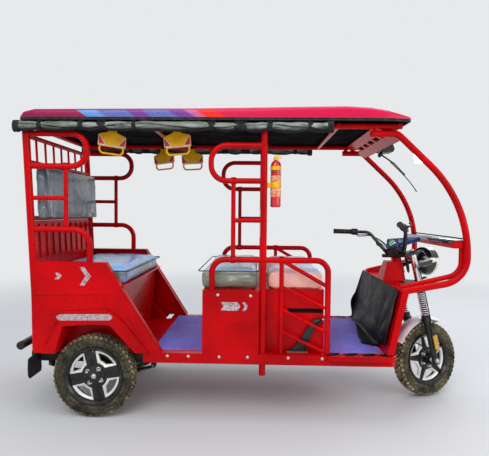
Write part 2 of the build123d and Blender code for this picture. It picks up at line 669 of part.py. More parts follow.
# ---- assembly -----------------------------------------------------------------------------
def build():
    """All pieces at rest, with stations measured from the rear axle."""
    nodes = {"chassis": chassis(), "floor_frame": floor_frame(), "floor_mats": floor_mats()}
    mids = {"mid_frame_left": mid_frame(1), "mid_frame_right": mid_frame(-1)}
    nodes["roof_frame"] = roof_frame()
    nodes["rear_frame"] = cut(rear_frame(), nodes["roof_frame"])
    for name, frame in mids.items():
        nodes[name] = cut(frame, nodes["roof_frame"])
    nodes["floor_frame"] = cut(nodes["floor_frame"], *mids.values())
    for side, name in ((1, "left"), (-1, "right")):
        nodes["side_panel_" + name] = cut(side_panel(side), nodes["rear_frame"])
        nodes["curtain_" + name] = curtain(side)
    nodes["rear_panel"] = rear_panel()
    nodes["rear_seat_box"] = cut(rear_seat_box(), nodes["rear_frame"], nodes["rear_panel"],
                                 nodes["side_panel_left"], nodes["side_panel_right"])
    nodes["rear_cushion"] = cut(rear_cushion(), nodes["rear_frame"], nodes["rear_panel"])
    nodes["rear_backrest"] = cut(rear_backrest(), nodes["rear_frame"])
    nodes["roof_shell"] = roof_shell()
    nodes["roof_liner"] = roof_liner()
    nodes["centre_box"] = centre_box()
    nodes["battery_pack"] = battery_pack()
    nodes["centre_cushion"] = centre_cushion()
    nodes["driver_cushion"] = driver_cushion()
    nodes["mid_backrest"] = cut(mid_backrest(), *mids.values())
    nodes["screen_frame"] = cut(screen_frame(), nodes["roof_frame"])
    nodes["leg_shield"] = cut(leg_shield(), nodes["screen_frame"])
    nodes["leg_shield_cover"] = cut(leg_shield_cover(), nodes["leg_shield"])
    for name, piece in (("screen_header", screen_header()), ("windscreen", windscreen()),
                        ("dash_panel", dash_panel())):
        nodes[name] = cut(piece, nodes["screen_frame"], nodes["roof_frame"])
    nodes["wiper_motor"] = cut(wiper_motor(), nodes["screen_header"], nodes["roof_frame"])
    nodes["steering_cowl"] = steering_cowl()
    nodes["rear_bumper"] = rear_bumper()
    nodes["mud_flaps"] = mud_flaps()
    nodes["rear_axle"] = rear_axle()
    nodes["leaf_springs"] = cut(leaf_springs(), nodes["rear_axle"])
    nodes["tail_lamps"] = cut(tail_lamps(), nodes["rear_panel"])
    nodes["handbrake"] = handbrake()
    nodes["fire_extinguisher"] = cut(fire_extinguisher(), nodes["mid_frame_right"])
    nodes["grab_handles"] = grab_handles()

    steering = {"fork_lowers": fork_lowers(), "fork_springs": fork_springs(), "fork_crown": fork_crown()}
    steering["handlebar"] = handlebar()
    steering["hand_controls"] = cut(hand_controls(), steering["handlebar"])
    steering["instrument_pod"] = instrument_pod()
    steering["headlight"] = cut(headlight(), steering["fork_crown"])
    steering["headlight_lens"] = headlight_lens()
    steering["front_mudguard"] = cut(front_mudguard(), steering["fork_lowers"])
    hub = Pos(FORK_OFFSET, 0, WHEEL_S)
    front_rim = Rot(0, 0, 180) * rim(5, 54.0, (-62, 62), (-70, 70, 10 + BEARING_GAP), False)
    steering["front_rim"] = hub * front_rim
    steering["front_tyre"] = hub * cut(tyre(), front_rim)
    for name, piece in steering.items():
        nodes[name] = turned * piece

    rear_rim = rim(4, 33.0, (-54, 34), (-70, 30, 14 + BEARING_GAP), True)
    for side, name, spin in ((1, "left", 0), (-1, "right", 180)):
        hub = Pos(0, side * REAR_WHEEL_Y, AXLE_Z) * Rot(0, 0, spin)
        nodes["rear_tyre_" + name] = hub * cut(tyre(), rear_rim)
        nodes["rear_rim_" + name] = hub * rear_rim
    return nodes


def main():
    os.makedirs("parts", exist_ok=True)
    nodes = build()
    boxes = [piece.bounding_box() for piece in nodes.values()]
    middle = (min(b.min.X for b in boxes) + max(b.max.X for b in boxes)) / 2
    for name, piece in nodes.items():
        export_step(Pos(-middle, 0, 0) * piece, os.path.join("parts", name + ".step"))
    print("rear axle at X", round(-middle, 3), "front wheel height along the axis", round(WHEEL_S, 3))


main()
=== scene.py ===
"""Looks of a parked electric rickshaw, made round its packed frame."""
import json
import math
import random

import bmesh
import bpy
from mathutils import Matrix, Vector, noise

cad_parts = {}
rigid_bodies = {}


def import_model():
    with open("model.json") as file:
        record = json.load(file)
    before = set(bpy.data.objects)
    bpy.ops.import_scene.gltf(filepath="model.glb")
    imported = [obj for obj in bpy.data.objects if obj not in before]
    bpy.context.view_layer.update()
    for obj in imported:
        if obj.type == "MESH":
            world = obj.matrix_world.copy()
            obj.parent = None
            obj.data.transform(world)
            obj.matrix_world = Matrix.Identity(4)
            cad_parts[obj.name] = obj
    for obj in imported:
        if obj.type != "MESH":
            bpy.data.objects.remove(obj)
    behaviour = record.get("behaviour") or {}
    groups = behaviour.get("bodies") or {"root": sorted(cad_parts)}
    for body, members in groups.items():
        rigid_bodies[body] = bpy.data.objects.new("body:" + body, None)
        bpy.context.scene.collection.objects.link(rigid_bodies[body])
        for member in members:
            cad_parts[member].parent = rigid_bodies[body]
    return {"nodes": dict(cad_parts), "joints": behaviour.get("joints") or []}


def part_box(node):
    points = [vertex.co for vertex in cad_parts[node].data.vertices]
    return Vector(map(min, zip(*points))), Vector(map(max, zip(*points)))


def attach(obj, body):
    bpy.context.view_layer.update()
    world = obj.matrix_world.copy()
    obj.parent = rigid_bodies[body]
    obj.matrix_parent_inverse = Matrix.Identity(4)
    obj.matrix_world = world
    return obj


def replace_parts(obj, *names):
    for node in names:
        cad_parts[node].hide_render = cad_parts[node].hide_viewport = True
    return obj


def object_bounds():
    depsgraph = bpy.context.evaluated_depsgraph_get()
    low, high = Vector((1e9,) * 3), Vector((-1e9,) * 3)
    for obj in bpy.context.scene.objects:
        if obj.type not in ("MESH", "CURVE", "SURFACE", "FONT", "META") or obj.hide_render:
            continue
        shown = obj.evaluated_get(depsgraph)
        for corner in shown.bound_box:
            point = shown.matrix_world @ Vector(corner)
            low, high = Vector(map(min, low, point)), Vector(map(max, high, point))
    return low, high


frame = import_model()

bl_info = {
    "name": "Electric Rickshaw Looks",
    "version": (1, 0, 0),
    "blender": (4, 5, 0),
    "location": "3D View > Sidebar > Rickshaw",
    "description": "Dresses the packed electric rickshaw: paint, upholstery, wheels, lamps and small fittings",
    "category": "Object",
}

NODES = frame["nodes"]
JOINTS = {joint["name"]: joint for joint in frame["joints"]}
CAD_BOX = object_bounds()
MM = 0.001

# Frames in which pieces are drawn, in millimetres. The cabin's X is measured from the rear axle.
# The fork's frame stands where the steering axis meets the ground: X forward and square to the
# axis, Y to the left, Z up along the axis.
CABIN = Matrix.Translation((JOINTS["rear_left_spin"]["pos_m"][0], 0, 0)) @ Matrix.Scale(MM, 4)


def fork_frame():
    """Frame of the turned fork, from the steering axis and the front wheel's own axis."""
    up = Vector(JOINTS["steering"]["axis"]).normalized()
    foot = Vector(JOINTS["steering"]["pos_m"])
    foot -= up * (foot.z / up.z)
    left = Vector(JOINTS["front_wheel_spin"]["axis"]).normalized()
    columns = Matrix((left.cross(up), left, up)).transposed().to_4x4()
    return Matrix.Translation(foot) @ columns @ Matrix.Scale(MM, 4)


FORK = fork_frame()


def wheel_frame(joint, facing_left):
    """Frame of a wheel: Z along its axle towards its open face, X forward."""
    place = Vector(JOINTS[joint]["pos_m"])
    axle = Vector(JOINTS[joint]["axis"]).normalized()
    ahead = axle.cross(FORK.col[2].to_3d().normalized() if joint == "front_wheel_spin" else Vector((0, 0, 1)))
    out = axle if facing_left else -axle
    columns = Matrix((ahead, out.cross(ahead), out)).transposed().to_4x4()
    return Matrix.Translation(place) @ columns @ Matrix.Scale(MM, 4)


# ---- drawing meshes -----------------------------------------------------------------------
def plain(piece):
    """Turns a piece with modifiers into a plain mesh."""
    graph = bpy.context.evaluated_depsgraph_get()
    made = bpy.data.meshes.new_from_object(piece.evaluated_get(graph), depsgraph=graph)
    piece.modifiers.clear()
    piece.data = made
    return piece


def set_down(name, data, body, slot=None, corner=35.0):
    """Makes a mesh a named piece that rides on a body."""
    piece = bpy.data.objects.new(name, data)
    data.name = name
    bpy.context.scene.collection.objects.link(piece)
    data.shade_smooth()
    data.set_sharp_from_angle(angle=math.radians(corner))
    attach(piece, body)
    return piece if slot else piece


class Build:
    """Mesh of one piece, drawn in millimetres in one of the vehicle's frames."""

    def __init__(self, place=None):
        self.mesh = bmesh.new()
        self.place = CABIN if place is None else place

    def skin(self, rings, closed=True, capped=True, looped=False):
        """Surface over rings of points, which may be closed in themselves and to one another."""
        verts = [[self.mesh.verts.new(p) for p in ring] for ring in rings]
        count = len(verts[0])
        pairs = list(zip(verts, verts[1:])) + ([(verts[-1], verts[0])] if looped else [])
        faces = []
        for a, b in pairs:
            for n in range(count if closed else count - 1):
                m = (n + 1) % count
                faces.append(self.mesh.faces.new((a[n], a[m], b[m], b[n])))
        if capped and not looped:
            for ring in (verts[0], verts[-1]):
                if (ring[0].co - ring[count // 2].co).length > 1e-3:
                    faces.append(self.mesh.faces.new(ring))
        flat = [v for ring in verts for v in ring]
        bmesh.ops.remove_doubles(self.mesh, verts=flat, dist=1e-3)
        faces = [f for f in faces if f.is_valid]
        if closed:
            bmesh.ops.recalc_face_normals(self.mesh, faces=faces)
        return faces

    def box(self, low, high, move=None):
        """Box between two corners."""
        rings = [[(x, y, z) for x, y in ((low[0], low[1]), (high[0], low[1]), (high[0], high[1]),
                                         (low[0], high[1]))] for z in (low[2], high[2])]
        return self.skin(self.moved(rings, move))

    def slab(self, outline, low, high, along="Y", move=None):
        """Plate with an outline of two coordinates, between two values of the third, in either order."""
        order = {"X": lambda a, b, c: (c, a, b), "Y": lambda a, b, c: (a, c, b), "Z": lambda a, b, c: (a, b, c)}
        rings = [[order[along](a, b, c) for a, b in outline] for c in sorted((low, high))]
        return self.skin(self.moved(rings, move))

    def moved(self, rings, move):
        """Rings of points, put through a matrix."""
        return rings if move is None else [[move @ Vector(p) for p in ring] for ring in rings]

    def tube(self, path, radius, sides=12, looped=False):
        """Round bar along a line of points; the radius is one value or one for each point."""
        points = [Vector(p) for p in path]
        count = len(points)
        radii = radius if hasattr(radius, "__len__") else [radius] * count
        steps = [points[(n + 1) % count] - points[n] for n in range(count if looped else count - 1)]
        ways = []
        for n in range(count):
            before = steps[n - 1] if n or looped else steps[0]
            after = steps[n] if n < len(steps) else steps[-1]
            ways.append((before.normalized() + after.normalized()).normalized())
        across = ways[0].orthogonal().normalized()
        rings = []
        for point, way, r in zip(points, ways, radii):
            across = (across - way * across.dot(way)).normalized()
            other = way.cross(across)
            turns = [2 * math.pi * n / sides for n in range(sides)]
            rings.append([point + (across * math.cos(a) + other * math.sin(a)) * r for a in turns])
        return self.skin(rings, looped=looped)

    def lathe(self, profile, sides=48, move=None, arc=360.0, start=0.0):
        """Turned shape from (radius, height) points about Z."""
        whole = arc >= 360.0
        steps = sides if whole else sides + 1
        turns = [math.radians(start + arc * n / sides) for n in range(steps)]
        rings = [[(r * math.cos(a), r * math.sin(a), z) for a in turns] for r, z in profile]
        if whole:
            return self.skin(self.moved(rings, move))
        return self.skin(self.moved([list(ring) for ring in zip(*rings)], move))

    def hoop(self, profile, sides=48, move=None):
        """Closed ring about Z with a closed (radius, height) section."""
        turns = [2 * math.pi * n / sides for n in range(sides)]
        rings = [[(r * math.cos(a), r * math.sin(a), z) for r, z in profile] for a in turns]
        return self.skin(self.moved(rings, move), looped=True)

    def grid(self, shape, columns, rows):
        """Open surface from a rule that gives a point for two shares from 0 to 1."""
        rings = [[shape(i / columns, j / rows) for i in range(columns + 1)] for j in range(rows + 1)]
        return self.skin(rings, closed=False, capped=False)

    def done(self, name, finish, body, slot=None, bevel=0.0, rounds=2, thick=0.0, corner=35.0, shift=-1.0):
        """Puts the mesh in its place as a piece with its finish."""
        bmesh.ops.transform(self.mesh, matrix=self.place, verts=self.mesh.verts)
        data = bpy.data.meshes.new(name)
        self.mesh.to_mesh(data)
        self.mesh.free()
        data.materials.append(finish_of(finish))
        if bevel or thick:
            rough = bpy.data.objects.new(name + "_rough", data)
            bpy.context.scene.collection.objects.link(rough)
            if thick:
                wall = rough.modifiers.new("wall", "SOLIDIFY")
                wall.thickness, wall.offset = thick * MM, shift
            if bevel:
                edge = rough.modifiers.new("edge", "BEVEL")
                edge.width, edge.segments, edge.angle_limit = bevel * MM, rounds, math.radians(30)
                edge.harden_normals = False
            data = plain(rough).data
            bpy.data.objects.remove(rough)
        return set_down(name, data, body, slot, corner)


def rounded(points, radii, steps=6):
    """Line of points with its inner corners rounded."""
    points = [Vector(p) for p in points]
    radii = radii if hasattr(radii, "__len__") else [radii] * (len(points) - 2)
    out = [points[0]]
    for before, here, after, radius in zip(points, points[1:], points[2:], radii):
        a, b = (before - here).normalized(), (after - here).normalized()
        half = a.angle(b) / 2
        reach = min(radius / math.tan(half), (before - here).length * 0.49, (after - here).length * 0.49)
        centre = here + (a + b).normalized() * (reach / math.cos(half))
        start = here + a * reach - centre
        end = here + b * reach - centre
        turn = start.rotation_difference(end)
        for n in range(steps + 1):
            part = turn.copy()
            part = part.__class__().slerp(turn, n / steps)
            out.append(centre + part @ start)
    return out + [points[-1]]


def spline(points, count=40):
    """Smooth line through points, evenly spaced along its parameter."""
    points = [Vector(p) for p in points]
    ends = [points[0] * 2 - points[1], *points, points[-1] * 2 - points[-2]]
    out = []
    for n in range(count + 1):
        t = n / count * (len(points) - 1)
        k = min(int(t), len(points) - 2)
        u = t - k
        a, b, c, d = ends[k:k + 4]
        out.append(0.5 * (2 * b + (c - a) * u + (2 * a - 5 * b + 4 * c - d) * u * u
                          + (3 * b - a - 3 * c + d) * u ** 3))
    return out


def look_along(way, side=(0, 0, 1)):
    """Turn whose Z points along a direction, and whose X is square to it and to another."""
    z = Vector(way).normalized()
    x = Vector(side).cross(z)
    x = x.normalized() if x.length > 1e-6 else z.orthogonal().normalized()
    return Matrix((x, z.cross(x), z)).transposed().to_4x4()


def at(x, y, z, way=(0, 0, 1), side=(0, 0, 1)):
    """Matrix that stands a shape at a point, with its Z along a direction."""
    return Matrix.Translation((x, y, z)) @ look_along(way, side)


# ---- node trees ---------------------------------------------------------------------------
class NodeTree:
    """A node tree, with short calls for adding and joining its nodes."""

    def feed(self, socket, value):
        """Sets a socket to a plain value, or links another socket to it."""
        if isinstance(value, bpy.types.NodeSocket):
            self.tree.links.new(value, socket)
        else:
            socket.default_value = value

    def add(self, kind, inputs=None, **settings):
        """A new node with its settings and inputs."""
        node = self.tree.nodes.new(kind)
        for key, value in settings.items():
            setattr(node, key, value)
        for key, value in (inputs or {}).items():
            self.feed(node.inputs[key], value)
        return node

    def math(self, operation, a, b=0.0):
        """One sum on one or two values."""
        return self.add("ShaderNodeMath", {0: a, 1: b}, operation=operation).outputs[0]

    def vector(self, x=0.0, y=0.0, z=0.0):
        """Three values as a vector."""
        return self.add("ShaderNodeCombineXYZ", {0: x, 1: y, 2: z}).outputs[0]


class Growth(NodeTree):
    """A Geometry Nodes tree with named sizes that makes repeated shapes in millimetres."""

    def __init__(self, name, **sizes):
        self.tree = bpy.data.node_groups.new(name, "GeometryNodeTree")
        face = self.tree.interface
        self.ids = {}
        face.new_socket("Geometry", in_out="INPUT", socket_type="NodeSocketGeometry")
        for label, value in sizes.items():
            kind = {int: "NodeSocketInt", tuple: "NodeSocketVector"}.get(type(value), "NodeSocketFloat")
            socket = face.new_socket(label.replace("_", " "), in_out="INPUT", socket_type=kind)
            socket.default_value = value
            self.ids[label] = socket.identifier
        self.ids["Finish"] = face.new_socket("Finish", in_out="INPUT", socket_type="NodeSocketMaterial").identifier
        face.new_socket("Geometry", in_out="OUTPUT", socket_type="NodeSocketGeometry")
        self.start = self.add("NodeGroupInput").outputs

    def size(self, label):
        """One of the tree's named inputs."""
        return self.start[label.replace("_", " ")]

    def parts(self, vector):
        """X, Y and Z of a vector."""
        return self.add("ShaderNodeSeparateXYZ", {0: vector}).outputs

    def instances(self, points, shape, turn=None, scale=None):
        """A shape on each point."""
        inputs = {"Points": points, "Instance": shape}
        for key, value in (("Rotation", turn), ("Scale", scale)):
            if value is not None:
                inputs[key] = value
        return self.add("GeometryNodeInstanceOnPoints", inputs).outputs[0]

    def shifted(self, shape, by=(0, 0, 0), turn=(0, 0, 0)):
        """A shape, moved and turned."""
        return self.add("GeometryNodeTransform", {0: shape, "Translation": by, "Rotation": turn}).outputs[0]

    def joined(self, *shapes):
        """Several shapes as one."""
        node = self.add("GeometryNodeJoinGeometry")
        for shape in shapes:
            self.tree.links.new(shape, node.inputs[0])
        return node.outputs[0]

    def result(self, shape):
        """Makes the instances real, gives them their finish and ends the tree."""
        real = self.add("GeometryNodeRealizeInstances", {0: shape}).outputs[0]
        coated = self.add("GeometryNodeSetMaterial", {0: real, "Material": self.size("Finish")}).outputs[0]
        end = self.add("NodeGroupOutput")
        self.tree.links.new(coated, end.inputs[0])
        return self

    def grow(self, name, finish, body, slot=None, place=None, points=None, aims=None, corner=35.0, **sizes):
        """Runs the tree on points, or on nothing, and sets the result down as a plain piece."""
        data = bpy.data.meshes.new(name)
        data.from_pydata([tuple(p) for p in (points or [(0, 0, 0)])], [], [])
        if aims:
            store = data.attributes.new("aim", "FLOAT_VECTOR", "POINT")
            store.data.foreach_set("vector", [c for aim in aims for c in aim])
        holder = bpy.data.objects.new(name + "_rough", data)
        bpy.context.scene.collection.objects.link(holder)
        modifier = holder.modifiers.new("growth", "NODES")
        modifier.node_group = self.tree
        modifier[self.ids["Finish"]] = finish_of(finish)
        for label, value in sizes.items():
            modifier[self.ids[label]] = value
        plain(holder)
        made = holder.data
        bpy.data.objects.remove(holder)
        made.transform(CABIN if place is None else place)
        return set_down(name, made, body, slot, corner)


def tree_of(maker):
    """A Geometry Nodes tree, built once."""
    if maker not in GROWTHS:
        GROWTHS[maker] = maker()
    return GROWTHS[maker]


GROWTHS = {}


# ---- finishes -----------------------------------------------------------------------------
def rgb(red, green, blue):
    """A colour from display values of 0 to 255."""
    linear = [(c / 255 / 12.92) if c <= 10 else ((c / 255 + 0.055) / 1.055) ** 2.4 for c in (red, green, blue)]
    return (*linear, 1.0)


class Paint(NodeTree):
    """A material's node tree. Patterns follow the piece's own coordinates, in metres."""

    made = {}

    def __init__(self, name):
        self.material = bpy.data.materials.new(name)
        self.material.use_nodes = True
        self.tree = self.material.node_tree
        self.shader = self.tree.nodes["Principled BSDF"]
        self.place = self.add("ShaderNodeTexCoord").outputs["Object"]
        self.colours = bpy.context.scene.rickshaw_colours

    def stretch(self, scale, turn=(0, 0, 0)):
        """The piece's own coordinates, scaled and turned."""
        sizes = {"Vector": self.place, "Scale": scale, "Rotation": turn}
        return self.add("ShaderNodeMapping", sizes).outputs["Vector"]

    def grain(self, scale, detail=2.0, rough=0.5, where=None, warp=0.0):
        """Soft noise, from 0 to 1."""
        sizes = {"Vector": where or self.place, "Scale": scale, "Detail": detail, "Roughness": rough,
                 "Distortion": warp}
        return self.add("ShaderNodeTexNoise", sizes).outputs["Fac"]

    def cells(self, scale):
        """Distance in a field of random cells."""
        return self.add("ShaderNodeTexVoronoi", {"Vector": self.place, "Scale": scale}).outputs["Distance"]

    def bands(self, scale, direction="X", where=None, warp=0.0):
        """Parallel bands."""
        sizes = {"Vector": where or self.place, "Scale": scale, "Distortion": warp}
        return self.add("ShaderNodeTexWave", sizes, bands_direction=direction).outputs["Fac"]

    def step(self, value, low, high, start=0.0, end=1.0):
        """Maps a value smoothly from one range to another, clamped."""
        sizes = {"Value": value, "From Min": low, "From Max": high, "To Min": start, "To Max": end}
        return self.add("ShaderNodeMapRange", sizes, interpolation_type="SMOOTHSTEP").outputs["Result"]

    def blend(self, share, a, b):
        """Colour a turning into b."""
        return self.add("ShaderNodeMix", {0: share, 6: a, 7: b}, data_type="RGBA").outputs[2]

    def axis(self, letter):
        """One of the piece's own coordinates."""
        return self.add("ShaderNodeSeparateXYZ", {0: self.place}).outputs[letter]

    def facing(self, letter):
        """One component of the surface's direction."""
        normal = self.add("ShaderNodeNewGeometry").outputs["Normal"]
        return self.add("ShaderNodeSeparateXYZ", {0: normal}).outputs[letter]

    def bump(self, height, strength, distance, under=None):
        """A bump from a height, on top of another bump."""
        sizes = {"Height": height, "Strength": strength, "Distance": distance}
        if under is not None:
            sizes["Normal"] = under
        return self.add("ShaderNodeBump", sizes).outputs["Normal"]

    def dust(self, colour, share, below=0.55, tint=rgb(168, 150, 122)):
        """Road dust over a colour, thicker low down and in patches."""
        low = self.step(self.axis("Z"), below, 0.12, 0.0, share)
        patch = self.step(self.grain(24, 4, 0.65), 0.35, 0.75)
        return self.blend(self.math("MULTIPLY", low, patch), colour, tint)

    def done(self, **values):
        """Sets the shader's sockets and gives the material."""
        for key, value in values.items():
            self.feed(self.shader.inputs[key.replace("_", " ")], value)
        return self.material


# Two tones in soft patches: colours, size of the patches, roughness, then the fine bump's scale
# and depth, and the shader's other sockets.
PLAIN = {
    "black_enamel": (rgb(22, 22, 25), rgb(52, 50, 48), 14, 0.32, 300, 0.0004, {"Specular_IOR_Level": 0.35}),
    "underseal": (rgb(30, 28, 28), rgb(66, 60, 54), 9, 0.78, 260, 0.0015, {"Specular_IOR_Level": 0.3}),
    "black_moulding": (rgb(22, 22, 26), rgb(40, 40, 44), 8, 0.42, 700, 0.0005, {"Specular_IOR_Level": 0.35}),
    "glossy_black": (rgb(14, 18, 30), rgb(24, 34, 62), 5, 0.14, 30, 0.0010, {"Coat_Weight": 0.6}),
    "pod_blue": (rgb(26, 44, 92), rgb(40, 66, 128), 7, 0.16, 30, 0.0008, {"Coat_Weight": 0.6}),
    "rubber": (rgb(24, 24, 25), rgb(56, 55, 53), 30, 0.62, 500, 0.0006, {"Specular_IOR_Level": 0.3}),
    # ceiling_board: near-black, with a maroon tint that is a painted reflection of the red body.
    "ceiling_board": (rgb(6, 2, 5), rgb(16, 6, 12), 4, 0.9, 420, 0.0008, {"Specular_IOR_Level": 0.02}),
    "stripe_vinyl": (rgb(196, 186, 192), rgb(120, 40, 56), 90, 0.34, 90, 0.0006, {"Specular_IOR_Level": 0.3}),
    "piping": (rgb(34, 40, 44), rgb(66, 74, 76), 60, 0.5, 700, 0.0005, {}),
    "curtain_edge": (rgb(16, 16, 18), rgb(38, 38, 42), 30, 0.6, 480, 0.0008, {"Specular_IOR_Level": 0.2}),
    "rim_black": (rgb(14, 14, 16), rgb(44, 42, 38), 22, 0.24, 200, 0.0006, {"Specular_IOR_Level": 0.4}),
    "zinc": (rgb(204, 204, 198), rgb(156, 154, 146), 90, 0.34, 400, 0.0005, {"Metallic": 0.8}),
    "spring_plate": (rgb(226, 228, 232), rgb(176, 180, 188), 60, 0.26, 300, 0.0005, {"Metallic": 0.45}),
    "bare_steel": (rgb(120, 118, 114), rgb(88, 70, 56), 24, 0.55, 260, 0.0008, {"Metallic": 0.7}),
    "cast_alloy": (rgb(128, 128, 126), rgb(84, 80, 74), 18, 0.6, 500, 0.0008, {"Metallic": 0.6}),
    "handle_red": (rgb(206, 26, 30), rgb(150, 14, 20), 50, 0.36, 300, 0.0005, {}),
    "white_edge": (rgb(240, 212, 190), rgb(214, 170, 130), 60, 0.4, 300, 0.0005, {}),
    "bottle_red": (rgb(206, 22, 26), rgb(150, 10, 16), 14, 0.2, 300, 0.0006, {"Coat_Weight": 0.5}),
    "blank_label": (rgb(214, 84, 62), rgb(232, 206, 150), 60, 0.5, 400, 0.0005, {}),
    "plate_white": (rgb(222, 222, 218), rgb(186, 184, 178), 16, 0.34, 500, 0.0005, {}),
    "battery_case": (rgb(34, 36, 40), rgb(56, 58, 62), 30, 0.5, 700, 0.0006, {}),
    # dark_slot: near-black, laid on as thin pieces where openings and steps hold shade: painted shade.
    "dark_slot": (rgb(16, 10, 12), rgb(30, 14, 18), 40, 0.9, 300, 0.0005, {"Specular_IOR_Level": 0.1}),
}


def finish_of(name):
    """The named finish, made once."""
    if name not in Paint.made:
        p = Paint(name)
        if name in PLAIN:
            first, second, size, rough, scale, depth, more = PLAIN[name]
            tone = p.blend(p.step(p.grain(size, 4, 0.6), 0.35, 0.75), first, second)
            shade = p.step(p.grain(size * 2.3, 3), 0.3, 0.8, rough * 0.82, min(rough * 1.25, 1.0))
            Paint.made[name] = p.done(Base_Color=tone, Roughness=shade,
                                      Normal=p.bump(p.grain(scale, 2), 0.25, depth), **more)
        else:
            Paint.made[name] = film(p, *FILMS[name]) if name in FILMS else FINISHES[name](p)
    return Paint.made[name]


def red_enamel(p):
    """Glossy sprayed enamel with orange peel, faint waves and a little dust low down."""
    tone = p.blend(p.step(p.grain(2.5, 3), 0.3, 0.7), p.colours.body_red, p.colours.body_shade)
    peel = p.bump(p.grain(420, 1), 0.05, 0.001)
    return p.done(Base_Color=p.dust(tone, 0.03, 0.45), Roughness=p.step(p.grain(30, 3), 0.2, 0.9, 0.24, 0.36),
                  Specular_IOR_Level=0.07, Coat_Weight=0.22, Coat_Roughness=0.05, Coat_IOR=1.22,
                  Normal=p.bump(p.grain(9, 1), 0.05, 0.01, peel))


def roof_gel(p):
    """Moulded roof skin, crimson behind and pinker in front, with the printed band along its sides."""
    along = p.step(p.axis("X"), CAD_BOX[0].x + 0.2, CAD_BOX[0].x + 1.6)
    skin = p.blend(along, p.colours.roof_rear, p.colours.roof_front)
    crown = p.math("MULTIPLY", p.step(p.facing("Z"), 0.35, 0.95), p.step(p.grain(3, 3), 0.2, 0.8, 0.3, 0.65))
    skin = p.blend(crown, skin, rgb(122, 20, 92))
    start = (CABIN @ Vector((-54, 0, 0))).x
    slant = p.math("ADD", p.axis("X"), p.math("MULTIPLY", p.math("SUBTRACT", p.axis("Z"), 1.76), 1.6))
    tone = p.blend(p.step(slant, start + 0.09, start + 0.14), p.colours.band_blue, p.colours.band_violet)
    flash = p.bands(2.1, "X", p.stretch((1, 1, 1), (0, 0.9, 0)), 3.5)
    middle = p.math("MULTIPLY", p.step(slant, start + 0.15, start + 0.22), p.step(flash, 0.55, 0.8, 0.0, 0.85))
    tone = p.blend(middle, tone, rgb(118, 40, 140))
    fine = p.step(p.grain(55, 3, 0.6, p.stretch((1, 1, 2.2))), 0.56, 0.66, 0.0, 0.5)
    tone = p.blend(fine, tone, rgb(46, 58, 120))
    for place, colour in ((0.60, rgb(196, 96, 150)), (0.66, p.colours.band_flash), (0.77, p.colours.roof_front)):
        tone = p.blend(p.step(slant, start + place, start + place + 0.03), tone, colour)
    side = p.step(p.math("ABSOLUTE", p.facing("Y")), 0.75, 0.92)
    print_share = p.math("MULTIPLY", side, p.step(slant, start, start + 0.012))
    return p.done(Base_Color=p.blend(print_share, skin, tone), Coat_Weight=0.25, Coat_Roughness=0.1, Coat_IOR=1.3,
                  Specular_IOR_Level=0.2, Roughness=p.step(p.grain(22, 3), 0.2, 0.8, 0.28, 0.42),
                  Normal=p.bump(p.grain(14, 2), 0.06, 0.004))


def film(p, up, side, shade, crease, along, painted_highlight):
    """Vinyl cover under a clear wrap, with a painted reflection of the sky on its upward faces, painted reflection and
    shade in soft patches, and painted highlights along its few long creases.
    """
    up = getattr(p.colours, up) if isinstance(up, str) else up
    # Upward faces take the top colour: a painted reflection of the sky on the wrap.
    tone = p.blend(p.step(p.facing("Z"), 0.25, 0.8), side, up)
    # The shade colour, laid in soft patches, is painted reflection and shade.
    tone = p.blend(p.step(p.grain(3.2, 3, 0.5, warp=0.8), 0.42, 0.66, 0.0, 0.8), tone, shade)
    place = p.stretch(along)
    folds = p.grain(4.2, 2.5, 0.5, place, 1.4)
    ridge = p.math("ABSOLUTE", p.math("SUBTRACT", folds, 0.5))
    patch = p.step(p.grain(5.0, 2), 0.45, 0.62)
    # Thin near-white lines along the crease ridges, in patches, are painted highlights.
    tone = p.blend(p.math("MULTIPLY", p.step(ridge, 0.016, 0.0, 0.0, painted_highlight), patch), tone, rgb(232, 238, 240))
    crinkle = p.bump(ridge, 0.5 * crease, 0.02, p.bump(p.grain(9, 3, 0.55, place, 1.0), 0.35 * crease, 0.012))
    return p.done(Base_Color=tone, Roughness=0.5, Specular_IOR_Level=0.3, Coat_Weight=0.7, Coat_Roughness=0.13,
                  Normal=p.bump(p.cells(420), 0.15, 0.0006), Coat_Normal=crinkle)


# Covers: colours of the top (a painted reflection of the sky), the sides and the shade (patches of painted reflection
# and shade), then depth, stretch and painted highlight of the creases.
FILMS = {
    "rear_seat_film": ("film_blue", rgb(120, 126, 118), rgb(134, 176, 240), 1.0, (0.7, 1.4, 1.0), 0.55),
    "centre_seat_film": (rgb(186, 206, 232), rgb(128, 130, 114), rgb(104, 118, 108), 1.0, (0.35, 1.0, 2.6), 0.55),
    "driver_seat_film": (rgb(196, 212, 236), rgb(250, 192, 172), rgb(250, 178, 172), 0.8, (1.6, 0.8, 0.7), 0.55),
    "backrest_film": (rgb(150, 164, 176), rgb(66, 76, 94), rgb(112, 128, 128), 1.5, (1.6, 2.4, 0.7), 0.8),
    "dark_pad_film": (rgb(56, 60, 70), rgb(24, 24, 32), rgb(44, 42, 56), 1.0, (1.0, 1.0, 1.0), 0.55),
}


def curtain_cloth(p):
    """Rolled curtain cloth: grey-white folds on its outer face, with painted shade in its creases and a painted shadow
    on its underside.
    """
    fold = p.grain(11, 4, 0.6, p.stretch((0.45, 1.4, 2.4)), 1.2)
    # Darker where the fold noise is low, the same noise that dents the bump: painted shade in the creases.
    tone = p.blend(p.step(fold, 0.36, 0.62), rgb(38, 46, 46), rgb(152, 160, 154))
    tone = p.blend(p.step(p.grain(3.4, 2), 0.44, 0.62, 0.0, 0.6), tone, rgb(96, 100, 82))
    # Faces turned downward go near-black: painted shadow under the roll.
    under = p.step(p.facing("Z"), 0.15, -0.55)
    tone = p.blend(under, tone, rgb(16, 14, 16))
    ribs = p.bands(55, "X", p.stretch((1, 1, 0.2)), 1.5)
    return p.done(Base_Color=tone, Roughness=0.5, Specular_IOR_Level=0.3,
                  Normal=p.bump(ribs, 0.2, 0.0012, p.bump(fold, 0.5, 0.006)))


